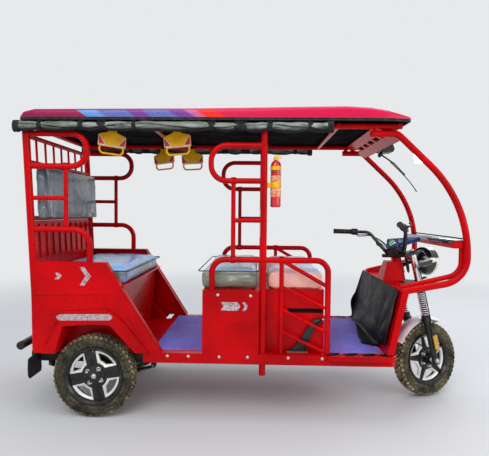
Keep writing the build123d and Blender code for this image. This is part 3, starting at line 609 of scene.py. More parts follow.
def cover_vinyl(p):
    """Soft black vinyl with a faint painted violet sheen in its folds."""
    fold = p.grain(6, 4, 0.55, p.stretch((1, 0.6, 1.6)), 1.2)
    # The violet on the raised folds is a painted sheen.
    tone = p.blend(p.step(fold, 0.45, 0.75), rgb(5, 3, 9), rgb(18, 10, 30))
    return p.done(Base_Color=tone, Roughness=p.step(fold, 0.3, 0.7, 0.3, 0.44), Specular_IOR_Level=0.05,
                  Normal=p.bump(p.cells(500), 0.2, 0.0006, p.bump(fold, 0.4, 0.008)))


def mat_rubber(p):
    """Violet-blue moulded mat, mottled with dust."""
    tone = p.blend(p.step(p.grain(7, 4, 0.6), 0.35, 0.7), p.colours.mat_violet, rgb(122, 100, 190))
    tone = p.blend(p.step(p.grain(30, 5, 0.7), 0.55, 0.8, 0.0, 0.35), tone, rgb(176, 160, 190))
    return p.done(Base_Color=tone, Roughness=0.5, Specular_IOR_Level=0.3, Normal=p.bump(p.grain(300, 3), 0.2, 0.001))


def worn(p, share, clean, dusty, scale):
    """Rubber with dust in patches, thicker on the front wheel."""
    patch = p.math("MULTIPLY", p.step(p.grain(9, 5, 0.7), 0.32, 0.62), p.step(p.grain(scale, 3, 0.7), 0.3, 0.7))
    share = p.step(p.axis("X"), -0.95, 1.0, share * 0.6, share)
    return p.done(Base_Color=p.blend(p.math("MULTIPLY", patch, share), clean, dusty), Roughness=0.85,
                  Specular_IOR_Level=0.25, Normal=p.bump(p.grain(260, 3), 0.3, 0.001))


def tyre_rubber(p):
    """Tyre walls."""
    return worn(p, 0.75, rgb(30, 29, 25), rgb(148, 138, 104), 90)


def tread_rubber(p):
    """Tread blocks, tan with dust on their tops."""
    return worn(p, 1.5, rgb(46, 43, 36), rgb(186, 170, 134), 60)


def rim_silver(p):
    """Machined silver face with fine turning lines and a thin film of dust."""
    lines = p.grain(240, 2)
    tone = p.blend(p.step(p.grain(20, 3), 0.35, 0.75, 0.0, 0.6), rgb(232, 232, 228), rgb(196, 192, 180))
    return p.done(Base_Color=tone, Metallic=0.25, Roughness=p.step(lines, 0.3, 0.7, 0.30, 0.44),
                  Normal=p.bump(lines, 0.08, 0.0005))


def chrome(p):
    """Bright plating with faint haze."""
    tone = p.blend(p.grain(12, 3), rgb(236, 236, 232), rgb(206, 208, 208))
    return p.done(Base_Color=tone, Metallic=1.0, Roughness=p.step(p.grain(40, 4), 0.3, 0.8, 0.07, 0.20),
                  Normal=p.bump(p.grain(160, 2), 0.03, 0.0008))


def lamp_shell(p):
    """Bowl of the lamp painted as chrome: blue-black above, cream round its middle and olive black below are painted
    reflections, with painted shade in the lower band.
    """
    lamp = FORK @ LAMP_AT
    rise = p.math("MULTIPLY", p.math("SUBTRACT", p.axis("Z"), lamp.z), 0.92)
    run = p.math("MULTIPLY", p.math("SUBTRACT", p.axis("X"), lamp.x), -0.39)
    # Bands by height and forward reach: painted reflection, light round the middle, dark below and blue-black above.
    up = p.math("ADD", p.math("ADD", rise, run), p.step(p.grain(14, 3, 0.6, warp=1.0), 0.2, 0.8, -0.009, 0.009))
    tone = p.blend(p.step(up, -0.026, -0.012), rgb(36, 36, 22), rgb(226, 226, 196))
    tone = p.blend(p.step(up, 0.012, 0.024), tone, rgb(14, 24, 44))
    return p.done(Base_Color=tone, Roughness=0.16, Metallic=0.2, Coat_Weight=0.4, Coat_Roughness=0.05,
                  Normal=p.bump(p.grain(60, 2), 0.04, 0.001))


def white_guard(p):
    """Pearl white moulded mudguard with soft dirt along its foot; the rear of its crown, on faces turned away from the
    right side, carries painted shade in violet-blue.
    """
    tone = p.blend(p.step(p.grain(14, 4), 0.4, 0.8, 0.0, 0.4), rgb(232, 230, 232), rgb(196, 192, 196))
    # The rear of the guard, on faces turned away from the right side, is blended to violet-blue: painted shade.
    back = p.math("MULTIPLY", p.step(p.axis("X"), 1.10, 0.98), p.step(p.facing("Y"), -0.55, -0.25))
    tone = p.blend(p.math("MULTIPLY", back, 0.8), tone, rgb(104, 84, 160))
    return p.done(Base_Color=p.dust(tone, 0.35, 0.45, rgb(150, 138, 120)), Roughness=0.26, Coat_Weight=0.4,
                  Normal=p.bump(p.grain(300, 1), 0.04, 0.001))


def clear_glass(p):
    """Clean clear glass."""
    haze = p.step(p.grain(8, 3), 0.3, 0.8, 0.0, 0.03)
    return p.done(Base_Color=(0.99, 0.995, 0.995, 1), Roughness=haze, IOR=1.01, Transmission_Weight=1.0,
                  Specular_IOR_Level=0.2, Normal=p.bump(p.grain(3, 1), 0.01, 0.001))


def lens_clear(p):
    """Fluted clear lamp lens."""
    return p.done(Base_Color=(0.96, 0.97, 0.97, 1), Roughness=0.06, IOR=1.35, Transmission_Weight=1.0,
                  Normal=p.bump(p.bands(28, "Y"), 0.5, 0.004))


def lens(p, tint, dark):
    """Moulded lamp lens with a prism pattern."""
    prism = p.math("MULTIPLY", p.bands(60, "Y"), p.bands(60, "Z"))
    return p.done(Base_Color=p.blend(prism, tint, dark), Roughness=0.12, IOR=1.45,
                  Transmission_Weight=0.3, Coat_Weight=0.5, Normal=p.bump(prism, 0.8, 0.003))


def lens_red(p):
    return lens(p, rgb(196, 12, 16), rgb(150, 6, 12))


def lens_amber(p):
    return lens(p, rgb(250, 186, 30), rgb(232, 150, 14))


def handle_yellow(p):
    """Yellow moulded plastic, browner towards its hanger with a painted shadow of the roof."""
    tone = p.blend(p.step(p.grain(22, 3), 0.3, 0.7), p.colours.handle_yellow, rgb(228, 160, 10))
    # Browner on the handles above 1.675 m: painted shadow of the roof.
    tone = p.blend(p.step(p.axis("Z"), 1.675, 1.70, 0.0, 0.6), tone, rgb(150, 96, 16))
    return p.done(Base_Color=tone, Roughness=p.step(p.grain(80, 2), 0.2, 0.8, 0.26, 0.42), Specular_IOR_Level=0.3,
                  Subsurface_Weight=0.1, Normal=p.bump(p.grain(420, 2), 0.06, 0.0006))


def dial_face(p):
    """Dial glass with a painted green glint that glows, though no lamp lights it."""
    glow = p.step(p.grain(18, 2), 0.3, 0.7)
    # The green blend and the weak green emission are a painted glint, not a lit dial.
    return p.done(Base_Color=p.blend(glow, rgb(24, 70, 56), rgb(110, 206, 160)), Roughness=0.1, Coat_Weight=0.6,
                  Emission_Color=rgb(70, 180, 130), Emission_Strength=0.35,
                  Normal=p.bump(p.grain(60, 1), 0.03, 0.001))


FINISHES = {made.__name__: made for made in (
    red_enamel, roof_gel, curtain_cloth, cover_vinyl, mat_rubber, tyre_rubber, tread_rubber, rim_silver, chrome,
    lamp_shell, white_guard, clear_glass, lens_clear, lens_red, lens_amber, handle_yellow, dial_face)}


def coat(finish, *names):
    """Gives CAD nodes a finish."""
    for name in names:
        NODES[name].data.materials.clear()
        NODES[name].data.materials.append(finish_of(finish))


# ---- what repeats -------------------------------------------------------------------------
def fasteners():
    """Hexagon heads on washers, one on each point along its aim."""
    g = Growth("fasteners", Head_Across=13.0, Head_Height=7.0, Washer_Across=22.0, Dome=2.0)
    half = g.math("MULTIPLY", g.size("Head_Across"), 0.57)
    head = g.add("GeometryNodeMeshCone", {"Vertices": 6, "Radius Bottom": half,
                 "Radius Top": g.math("MULTIPLY", half, 0.86), "Depth": g.size("Head_Height")}).outputs[0]
    washer = g.add("GeometryNodeMeshCylinder", {"Vertices": 16, "Depth": 1.6,
                   "Radius": g.math("MULTIPLY", g.size("Washer_Across"), 0.5)}).outputs[0]
    top = g.add("GeometryNodeMeshCone", {"Vertices": 6, "Radius Bottom": g.math("MULTIPLY", half, 0.8),
                "Radius Top": g.math("MULTIPLY", half, 0.4), "Depth": g.size("Dome")}).outputs[0]
    shape = g.joined(head, washer, g.shifted(top, g.vector(0.0, 0.0, g.size("Head_Height"))))
    aim = g.add("GeometryNodeInputNamedAttribute", {"Name": "aim"}, data_type="FLOAT_VECTOR").outputs[0]
    turn = g.add("FunctionNodeAlignRotationToVector", {"Vector": aim}, axis="Z").outputs[0]
    return g.result(g.instances(g.start["Geometry"], shape, turn))


def blocks_round():
    """Blocks set round a wheel's Z axis, in rows that lean over its shoulders."""
    g = Growth("blocks_round", Blocks=44, Radius=238.0, Block_Size=(14.0, 20.0, 17.0), Row_Height=0.0,
               Row_Lean=0.0, Row_Turn=0.0, Block_Twist=0.0)
    size = g.parts(g.size("Block_Size"))
    block = g.add("GeometryNodeMeshCube", {"Size": g.size("Block_Size")}).outputs[0]
    place = g.add("GeometryNodeInputPosition").outputs[0]
    spot = g.parts(place)
    outer = g.math("GREATER_THAN", spot[0], 0.0)
    shrink = g.math("SUBTRACT", 1.0, g.math("MULTIPLY", outer, 0.16))
    tapered = g.add("GeometryNodeSetPosition", {0: block, "Position": g.vector(
        spot[0], g.math("MULTIPLY", spot[1], shrink), g.math("MULTIPLY", spot[2], shrink))}).outputs[0]
    twisted = g.shifted(tapered, turn=g.vector(g.size("Block_Twist"), 0.0, 0.0))
    leaned = g.shifted(twisted, turn=g.vector(0.0, g.size("Row_Lean"), 0.0))
    low = g.math("SUBTRACT", g.size("Radius"), g.math("MULTIPLY", size[0], 0.5))
    placed = g.shifted(leaned, g.vector(low, 0.0, g.size("Row_Height")))
    points = g.add("GeometryNodeMeshLine", {"Count": g.size("Blocks"), "Offset": (0, 0, 0)}).outputs[0]
    number = g.add("GeometryNodeInputIndex").outputs[0]
    step = g.math("DIVIDE", 2 * math.pi, g.size("Blocks"))
    angle = g.math("MULTIPLY", g.math("ADD", number, g.size("Row_Turn")), step)
    return g.result(g.instances(points, placed, g.vector(0.0, 0.0, angle)))


def bars_in_row():
    """Bevelled bars at even steps along a line."""
    g = Growth("bars_in_row", Bars=5, Step=(20.0, 0.0, 0.0), Bar_Size=(10.0, 2.0, 4.0), Bar_Turn=(0.0, 0.0, 0.0))
    bar = g.add("GeometryNodeMeshCube", {"Size": g.size("Bar_Size"), "Vertices X": 3, "Vertices Y": 2,
                                         "Vertices Z": 3}).outputs[0]
    spot = g.parts(g.add("GeometryNodeInputPosition").outputs[0])
    size = g.parts(g.size("Bar_Size"))
    ends = g.math("DIVIDE", g.math("ABSOLUTE", spot[0]), size[0])
    slim = g.math("SUBTRACT", 1.0, g.math("MULTIPLY", g.math("POWER", ends, 3.0), 3.2))
    shaped = g.add("GeometryNodeSetPosition", {0: bar, "Position": g.vector(
        spot[0], g.math("MULTIPLY", spot[1], slim), g.math("MULTIPLY", spot[2], slim))}).outputs[0]
    count = g.size("Bars")
    line = g.add("GeometryNodeMeshLine", {"Count": count, "Offset": g.size("Step")}).outputs[0]
    return g.result(g.instances(line, shaped, g.size("Bar_Turn")))


def beads_on_points():
    """Small domed beads, one on each point along its aim."""
    g = Growth("beads_on_points", Bead_Size=(10.0, 10.0, 3.0))
    ball = g.add("GeometryNodeMeshUVSphere", {"Segments": 10, "Rings": 6, "Radius": 0.5}).outputs[0]
    aim = g.add("GeometryNodeInputNamedAttribute", {"Name": "aim"}, data_type="FLOAT_VECTOR").outputs[0]
    turn = g.add("FunctionNodeAlignRotationToVector", {"Vector": aim}, axis="Z").outputs[0]
    return g.result(g.instances(g.start["Geometry"], ball, turn, g.size("Bead_Size")))


def coil():
    """Coil spring along Z with closed ends."""
    g = Growth("coil", Turns=11.0, Coil_Radius=24.0, Height=165.0, Wire=6.0)
    line = g.add("GeometryNodeCurveSpiral", {"Resolution": 26, "Rotations": g.size("Turns"),
                 "Start Radius": g.size("Coil_Radius"), "End Radius": g.size("Coil_Radius"),
                 "Height": g.size("Height")}).outputs[0]
    ring = g.add("GeometryNodeCurvePrimitiveCircle", {"Resolution": 10,
                 "Radius": g.math("MULTIPLY", g.size("Wire"), 0.5)}).outputs[0]
    wire = g.add("GeometryNodeCurveToMesh", {0: line, 1: ring, "Fill Caps": True}).outputs[0]
    return g.result(wire)


def studs_on_sheet():
    """Raised lozenges in staggered rows over a flat sheet."""
    g = Growth("studs_on_sheet", Width=840.0, Depth=280.0, Columns=42, Rows=14, Stud_Size=(13.0, 6.0, 2.2))
    field = g.add("GeometryNodeMeshGrid", {"Size X": g.size("Depth"), "Size Y": g.size("Width"),
                  "Vertices X": g.size("Rows"), "Vertices Y": g.size("Columns")}).outputs[0]
    stud = g.add("GeometryNodeMeshCone", {"Vertices": 4, "Radius Bottom": 0.62, "Radius Top": 0.4,
                                          "Depth": 1.0}).outputs[0]
    number = g.add("GeometryNodeInputIndex").outputs[0]
    odd = g.math("MODULO", g.math("ADD", number, g.math("FLOOR", g.math(
        "DIVIDE", number, g.size("Columns")))), 2.0)
    turn = g.vector(0.0, 0.0, g.math("ADD", g.math("MULTIPLY", odd, math.pi / 2), math.pi / 4))
    return g.result(g.instances(field, g.shifted(stud, turn=(0, 0, math.pi / 4)), turn, g.size("Stud_Size")))


# ---- soft pieces --------------------------------------------------------------------------
def pad_box(node, low_in, high_in):
    """Corners of a pad's own block in cabin millimetres, drawn in from its node's box."""
    low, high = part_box(node)
    back = CABIN.inverted()
    return (back @ low) + Vector(low_in), (back @ high) - Vector(high_in)


def pad_mesh(low, high, lean=0.0, corner=26.0, sag=0.0):
    """Rounded block between two corners; lean moves its top along X and sag drops its front edge."""
    middle, half = (low + high) / 2, (high - low) / 2
    cuts = [max(2, round(2 * half[k] / 45.0)) for k in range(3)]
    made = bmesh.new()
    bmesh.ops.create_cube(made, size=2.0)
    for k in range(3):
        edges = [e for e in made.edges if abs((e.verts[0].co - e.verts[1].co)[k]) > 1.9]
        bmesh.ops.subdivide_edges(made, edges=edges, cuts=cuts[k], use_grid_fill=True)
    for v in made.verts:
        spot = Vector([v.co[k] * half[k] for k in range(3)])
        core = Vector([max(-half[k] + corner, min(half[k] - corner, spot[k])) for k in range(3)])
        out = spot - core
        if out.length > 1e-6:
            spot = core + out.normalized() * corner
        share = (spot.z + half.z) / (2 * half.z)
        spot.x += lean * share
        spot.z += sag * math.sin(math.pi * (spot.x + half.x) / (2 * half.x)) * share
        v.co = middle + spot
    bmesh.ops.transform(made, matrix=CABIN, verts=made.verts)
    return made


CLOTH_FRAMES = 20
CLOTH_VOXEL = 0.007
CLOTH_PRESSURE = 4.0


def swell(piece, cap):
    """Inflates a pad with Cloth, holds each point within a cap of where it started, and applies it."""
    remesh = piece.modifiers.new("skin", "REMESH")
    remesh.mode, remesh.voxel_size = "VOXEL", CLOTH_VOXEL
    plain(piece)
    start = [v.co.copy() for v in piece.data.vertices]
    cloth = piece.modifiers.new("cloth", "CLOTH")
    cloth.settings.quality = 4
    cloth.settings.mass = 0.3
    cloth.settings.tension_stiffness = cloth.settings.compression_stiffness = 12
    cloth.settings.bending_stiffness = 0.4
    cloth.settings.use_pressure = True
    cloth.settings.uniform_pressure_force = CLOTH_PRESSURE
    cloth.settings.effector_weights.gravity = 0
    cloth.point_cache.frame_start, cloth.point_cache.frame_end = 1, CLOTH_FRAMES
    scene = bpy.context.scene
    for number in range(1, CLOTH_FRAMES + 1):
        scene.frame_set(number)
    plain(piece)
    scene.frame_set(1)
    for v, before in zip(piece.data.vertices, start):
        move = v.co - before
        if move.length > cap:
            v.co = before + move.normalized() * cap


def crumple(piece, depth, scale, seed, flat_below=None):
    """Shallow folds of a cover, drawn into the mesh; the underside stays flat."""
    shift = Vector((seed * 7.3, seed * 3.1, seed * 5.7))
    piece.data.update()
    normals = [v.normal.copy() for v in piece.data.vertices]
    for v, normal in zip(piece.data.vertices, normals):
        if flat_below is not None and v.co.z < flat_below:
            continue
        spot = v.co * scale + shift
        warp = Vector((noise.noise(spot * 0.7), noise.noise(spot * 0.7 + shift), 0.0))
        fold = 1.0 - abs(noise.noise(spot + warp)) * 3.2
        v.co += normal * depth * (0.7 * max(fold, -0.6) + 0.3 * noise.noise(spot * 0.5))


def keep_inside(piece, low, high):
    """Holds a pad's points between two corners in cabin millimetres."""
    a, b = CABIN @ Vector(low), CABIN @ Vector(high)
    for v in piece.data.vertices:
        v.co = Vector([max(a[k], min(b[k], v.co[k])) for k in range(3)])


def cushion(name, node, finish, low_in, high_in, seed, lean=0.0, corner=26.0, depth=0.0024, scale=5.5,
            cap=0.014, sag=0.0, proud=(8, 8, 14), flat_foot=True):
    """A stuffed pad with swollen faces and a creased cover, in the space of its CAD block."""
    sizes = bpy.context.scene.rickshaw_soft
    low, high = pad_box(node, low_in, high_in)
    made = pad_mesh(low, high, lean, corner, sag)
    data = bpy.data.meshes.new(name)
    made.to_mesh(data)
    made.free()
    piece = bpy.data.objects.new(name, data)
    bpy.context.scene.collection.objects.link(piece)
    swell(piece, cap)
    smooth = piece.modifiers.new("soft", "SUBSURF")
    smooth.levels = smooth.render_levels = 1
    plain(piece)
    foot = (CABIN @ low).z + 0.012 if flat_foot else None
    crumple(piece, depth * sizes.crease, scale, seed, foot)
    box_low, box_high = pad_box(node, (0, 0, 0), (0, 0, 0))
    floor_z = box_low.z if flat_foot else box_low.z - proud[2]
    keep_inside(piece, (box_low.x - proud[0], box_low.y - proud[1], floor_z),
                (box_high.x + proud[0], box_high.y + proud[1], box_high.z + proud[2]))
    data = piece.data
    bpy.data.objects.remove(piece)
    data.materials.clear()
    data.materials.append(finish_of(finish))
    piece = set_down(name, data, "root", "cushion", 180.0)
    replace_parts(piece, node)
    return piece


def welt(name, low, high, z, corner, inset=2.0, radius=4.2):
    """Welt cord round a pad at one height."""
    b = Build()
    left, right = low.y + inset, high.y - inset
    rear, front = low.x + inset, high.x - inset
    points = []
    for x, y, start in ((front - corner, right - corner, 0), (rear + corner, right - corner, 90),
                        (rear + corner, left + corner, 180), (front - corner, left + corner, 270)):
        for n in range(7):
            a = math.radians(start + n * 15)
            points.append((x + corner * math.cos(a), y + corner * math.sin(a),
                           z + 1.6 * noise.noise(Vector((x * 0.013 + n, y * 0.017, z)))))
    b.tube(points, radius, sides=8, looped=True)
    return b.done(name, "piping", "root", "cushion", corner=180)


def seats():
    """The three cushions and the two back pads."""
    cushion("rear_seat_pad", "rear_cushion", "rear_seat_film", (12, 12, 0), (12, 12, 12), 3, sag=4.0,
            corner=20.0)
    low, high = pad_box("rear_cushion", (0, 0, 0), (0, 0, 0))
    welt("rear_seat_welt", low, high, low.z + 78, 26)
    cushion("centre_seat_pad", "centre_cushion", "centre_seat_film", (12, 10, 0), (2, 10, 12), 5, corner=24.0,
            proud=(8, 8, 4))
    low, high = pad_box("centre_cushion", (0, 0, 0), (0, 0, 0))
    welt("centre_seat_welt", low, high, low.z + 104, 28, inset=3.0, radius=3.4)
    cushion("driver_seat_pad", "driver_cushion", "driver_seat_film", (2, 10, 0), (10, 10, 12), 8, corner=26.0,
            depth=0.0034, proud=(8, 8, 4))
    cushion("rear_back_pad", "rear_backrest", "backrest_film", (22, 6, 4), (10, 6, -4), 11, lean=-14.0,
            corner=9.0, flat_foot=False, proud=(4, 4, 10), cap=0.008, depth=0.0028, scale=7.5)
    cushion("mid_back_pad", "mid_backrest", "dark_pad_film", (7, 8, 6), (7, 8, 6), 13, corner=10.0,
            flat_foot=False, proud=(5, 5, 6), cap=0.006, depth=0.0014)


def curtain_roll(side):
    """Rolled curtain under the roof's edge: a spiral of cloth, pinched by its straps, with a black hem."""
    name = "left" if side > 0 else "right"
    sizes = bpy.context.scene.rickshaw_soft
    low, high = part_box("curtain_" + name)
    back = CABIN.inverted()
    low, high = back @ low, back @ high
    rear, front = low.x + 2, high.x - 2
    y0, z0 = side * 500.0, (low.z + high.z) / 2
    straps = [(-285, 28), (-51, 30), (68, 52), (251, 24), (689, 46), (848, 72), (1010, 30), (1234, 30)]
    rnd = random.Random(7 if side > 0 else 4)
    sag = [rnd.uniform(0.3, 1.0) for n in range(len(straps) + 1)]
    turns = 3.1

    def swelling(x):
        """Fullness of the roll at a station, pulled in at the straps, and the drop of its free part."""
        fullness, drop = 1.0, 0.0
        for place, width in straps:
            fullness -= 0.30 * math.exp(-((x - place) / (width * 0.5 + 22)) ** 2)
        for n, (a, b) in enumerate(zip([rear - 40] + [s[0] for s in straps], [s[0] for s in straps] + [front])):
            if a <= x <= b:
                drop = sag[n] * sizes.curtain_sag * 1000 * math.sin(math.pi * (x - a) / (b - a)) ** 2
        return fullness, drop

    def cloth(u, v):
        """Point of the cloth: u winds round the roll, v runs along it."""
        x = rear + (front - rear) * v
        fullness, drop = swelling(x)
        angle = 2 * math.pi * turns * u + 0.5 * math.sin(x * 0.009 + side)
        inward = 1.0 - 0.62 * u
        ripple = 1 + 0.10 * noise.noise(Vector((x * 0.021, math.cos(angle) * 1.3, math.sin(angle) * 1.3 + side)))
        ripple += 0.05 * noise.noise(Vector((x * 0.07, math.cos(angle) * 2.1, math.sin(angle) * 2.1)))
        ry, rz = 19.5 * inward * fullness * ripple, 30.0 * inward * fullness * ripple
        return (x, y0 + side * ry * math.cos(angle), z0 - drop * (1 - 0.3 * u) + rz * math.sin(angle) + 5)

    b = Build()
    b.grid(cloth, 84, 210)
    for v in (0.1, 0.3, 0.5, 0.7, 0.9):
        line = [Vector(cloth(n / 400, v)) for n in range(401)]
    roll = b.done("curtain_roll_" + name, "curtain_cloth", "root", "curtain", thick=1.2, corner=180)
    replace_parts(roll, "curtain_" + name)

    trim = Build()
    for place, width in straps:
        fullness, drop = swelling(place)
        ring = []
        for n in range(28):
            a = 2 * math.pi * n / 28
            ring.append((20.8 * fullness * math.cos(a), 32.0 * fullness * math.sin(a)))
        tilt = rnd.uniform(-0.25, 0.25)
        rings = []
        for offset, grow in ((-1, 0.4), (-0.9, 1.6), (0.9, 1.6), (1, 0.4)):
            rings.append([(place + offset * width / 2 + z * tilt, y0 + side * y * (1 + grow / 22),
                           z0 - drop + 5 + z * (1 + grow / 32)) for y, z in ring])
        inner = [[(p[0], y0 + (p[1] - y0) * 0.93, z0 - drop + 5 + (p[2] - z0 + drop - 5) * 0.95) for p in rings[0]],
                 [(p[0], y0 + (p[1] - y0) * 0.93, z0 - drop + 5 + (p[2] - z0 + drop - 5) * 0.95) for p in rings[-1]]]
        trim.skin([inner[0], *rings, inner[1]], looped=True)
        top = z0 - drop + 5 + 31 * fullness
        trim.box((place - width / 2, y0 - 3, top - 4), (place + width / 2, y0 - 1, 1722))
    ties = trim.done("curtain_ties_" + name, "curtain_edge", "root", "curtain")

    ends = Build()
    for x, way in ((rear, -1), (front, 1)):
        fullness, drop = swelling(x)
        rings = []
        for depth, grow in ((-9, 1.04), (-7, 1.1), (24, 1.1), (25, 1.04)):
            rings.append([(x - way * depth, y0 + 20.5 * grow * fullness * math.cos(a),
                           z0 - drop + 5 + 31.0 * grow * fullness * math.sin(a))
                          for a in [2 * math.pi * n / 28 for n in range(28)]])
        ends.skin(rings)
    caps = ends.done("curtain_caps_" + name, "curtain_edge", "root", "curtain", bevel=1.5)


def shield_cover():
    """Black vinyl hung over the leg shield, its hem lying on the floor behind the wheel."""
    hem = [(-447, 332), (-330, 336), (-312, 374), (-294, 402), (-262, 446), (-235, 453), (-123, 446), (76, 416),
           (305, 376), (400, 380), (447, 386)]
    lean = math.radians(11.75)
    down, out = Vector((-math.sin(lean), -math.cos(lean))), Vector((-math.cos(lean), math.sin(lean)))
    top, straight, bend = Vector((1760.5, 772.5)), 354.5, 20.0
    turn = math.pi / 2 - lean

    def reach(y):
        """Length of the vinyl at one place across the vehicle."""
        for (a, low), (b, high) in zip(hem, hem[1:]):
            if y <= b:
                return low + (high - low) * (y - a) / (b - a) + 5 * noise.noise(Vector((y * 0.02, 1.7, 0)))
        return high

    def course(along):
        """Point of the shield and the floor at a length down the vinyl, and the way out of it there."""
        if along <= straight:
            return top + down * along, out
        a = min((along - straight) / bend, turn)
        way = out * math.cos(a) - down * math.sin(a)
        spot = top + down * straight + (out - way) * bend
        return spot + Vector((-1, 0)) * max(0.0, along - straight - bend * turn), way

    def cloth(u, v):
        """Point of the vinyl, u across the vehicle and v down its slope."""
        y = -446 + 892 * u
        along = reach(y) * v
        spot, way = course(along)
        edge = abs(u - 0.5) * 2
        wave = 4.0 * (0.5 + 0.5 * math.sin(u * 19 + 2.2 * math.sin(v * 4))) * (0.2 + 0.8 * v)
        wave += 4.5 * abs(noise.noise(Vector((u * 6, v * 3.2, 2.5))))
        wave += 3.0 * max(0.0, v - 0.86) / 0.14 * (0.5 + 0.5 * math.sin(u * 31))
        curl = 26.0 * max(0.0, u - 0.955) / 0.045 * math.exp(-((along - 230) / 90) ** 2)
        curl += 7.0 * max(0.0, edge - 0.94) / 0.06 * abs(math.sin(v * 7))
        spot = spot + way * (2.5 + wave + curl)
        return (spot.x, y + 5.0 * math.sin(v * 8.5) * max(0.0, edge - 0.8) * (1 if u > 0.5 else -1), spot.y)

    b = Build()
    b.grid(cloth, 96, 52)
    cover = b.done("leg_cover", "cover_vinyl", "root", "dark_trim", thick=1.4, corner=180, shift=0.0)
    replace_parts(cover, "leg_shield_cover")
    area = sum((reach(-446 + 892 * (n + 0.5) / 60)) for n in range(60)) / 60 * 892 * MM * MM


# ---- wheels -------------------------------------------------------------------------------
# "first" is the angle of a wheel's first window in degrees, and "hub" the height of its hub in millimetres.
WHEELS = {
    "rear_left": {"joint": "rear_left_spin", "body": "rear_wheel_left", "tyre": "rear_tyre_left", "left": True,
                  "rim": "rear_rim_left", "windows": 4, "first": 57.0, "hub": 34.0},
    "rear_right": {"joint": "rear_right_spin", "body": "rear_wheel_right", "tyre": "rear_tyre_right", "left": False,
                   "rim": "rear_rim_right", "windows": 4, "first": 57.0, "hub": 34.0},
    "front": {"joint": "front_wheel_spin", "body": "front_wheel", "tyre": "front_tyre", "left": False,
              "rim": "front_rim", "windows": 5, "first": 54.0, "hub": 62.0},
}
# Half of a tyre's section, as radius and height from its bead to the middle of its tread.
TYRE_SECTION = [(165.5, -30), (170, -35), (178, -38.5), (184, -42.5), (187, -42), (190, -44.2), (203, -47.6),
                (213, -47), (221, -44.4), (228, -40), (234, -31), (236.5, -18), (237.5, 0)]


def tyre(name, facts, place):
    """Tyre carcass with raised lines on its walls, and its tread blocks."""
    b = Build(place)
    mirrored = [(r, -z) for r, z in reversed(TYRE_SECTION[:-1])]
    inner = [(168.5, 20), (168.5, -20)]
    b.hoop(TYRE_SECTION + mirrored + inner, sides=96)
    for side in (1, -1):
        for radius, z, thick in ((196, 46.4, 1.6), (217, 46.2, 1.8)):
            b.hoop([(radius + thick * math.cos(a), side * z + thick * math.sin(a))
                    for a in [math.pi * n / 3 for n in range(6)]], sides=96)
    wall = b.done(name + "_tyre", "tyre_rubber", facts["body"], "tyre", corner=50)
    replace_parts(wall, facts["tyre"])
    sizes = bpy.context.scene.rickshaw_wheels
    tree = tree_of(blocks_round)
    depth = sizes.block_depth / MM
    rows = [("centre", 0.0, 0.0, 0.0, 0.5, (depth + 4, 21.0, 17.0), 241.6), ("mid_out", 17.0, -0.16, 0.5, -0.45,
            (depth + 4, 19.0, 15.0), 240.8), ("mid_in", -17.0, 0.16, 0.5, 0.45, (depth + 4, 19.0, 15.0), 240.8),
            ("edge_out", 33.5, -0.62, 0.0, 0.0, (depth + 5, 22.0, 18.0), 236.0),
            ("edge_in", -33.5, 0.62, 0.0, 0.0, (depth + 5, 22.0, 18.0), 236.0)]
    for label, height, lean, turn, twist, size, radius in rows:
        tree.grow(f"{name}_tread_{label}", "tread_rubber", facts["body"], "tyre", place, Blocks=sizes.tread_blocks,
                  Radius=radius, Block_Size=size, Row_Height=height, Row_Lean=-lean, Row_Turn=turn,
                  Block_Twist=twist)


def window_outline(grow, steps=8):
    """Rounded wedge outline of a wheel window, grown or drawn in by some millimetres."""
    inner, outer = 78.0 - grow, 146.0 + grow
    low = math.radians(19.5) + grow / inner * 0.9
    high = math.radians(30.5) + grow / outer * 0.9
    points = [(inner, -low + 2 * low * n / 3) for n in range(4)]
    points += [(outer, high - 2 * high * n / steps) for n in range(steps + 1)]
    return points


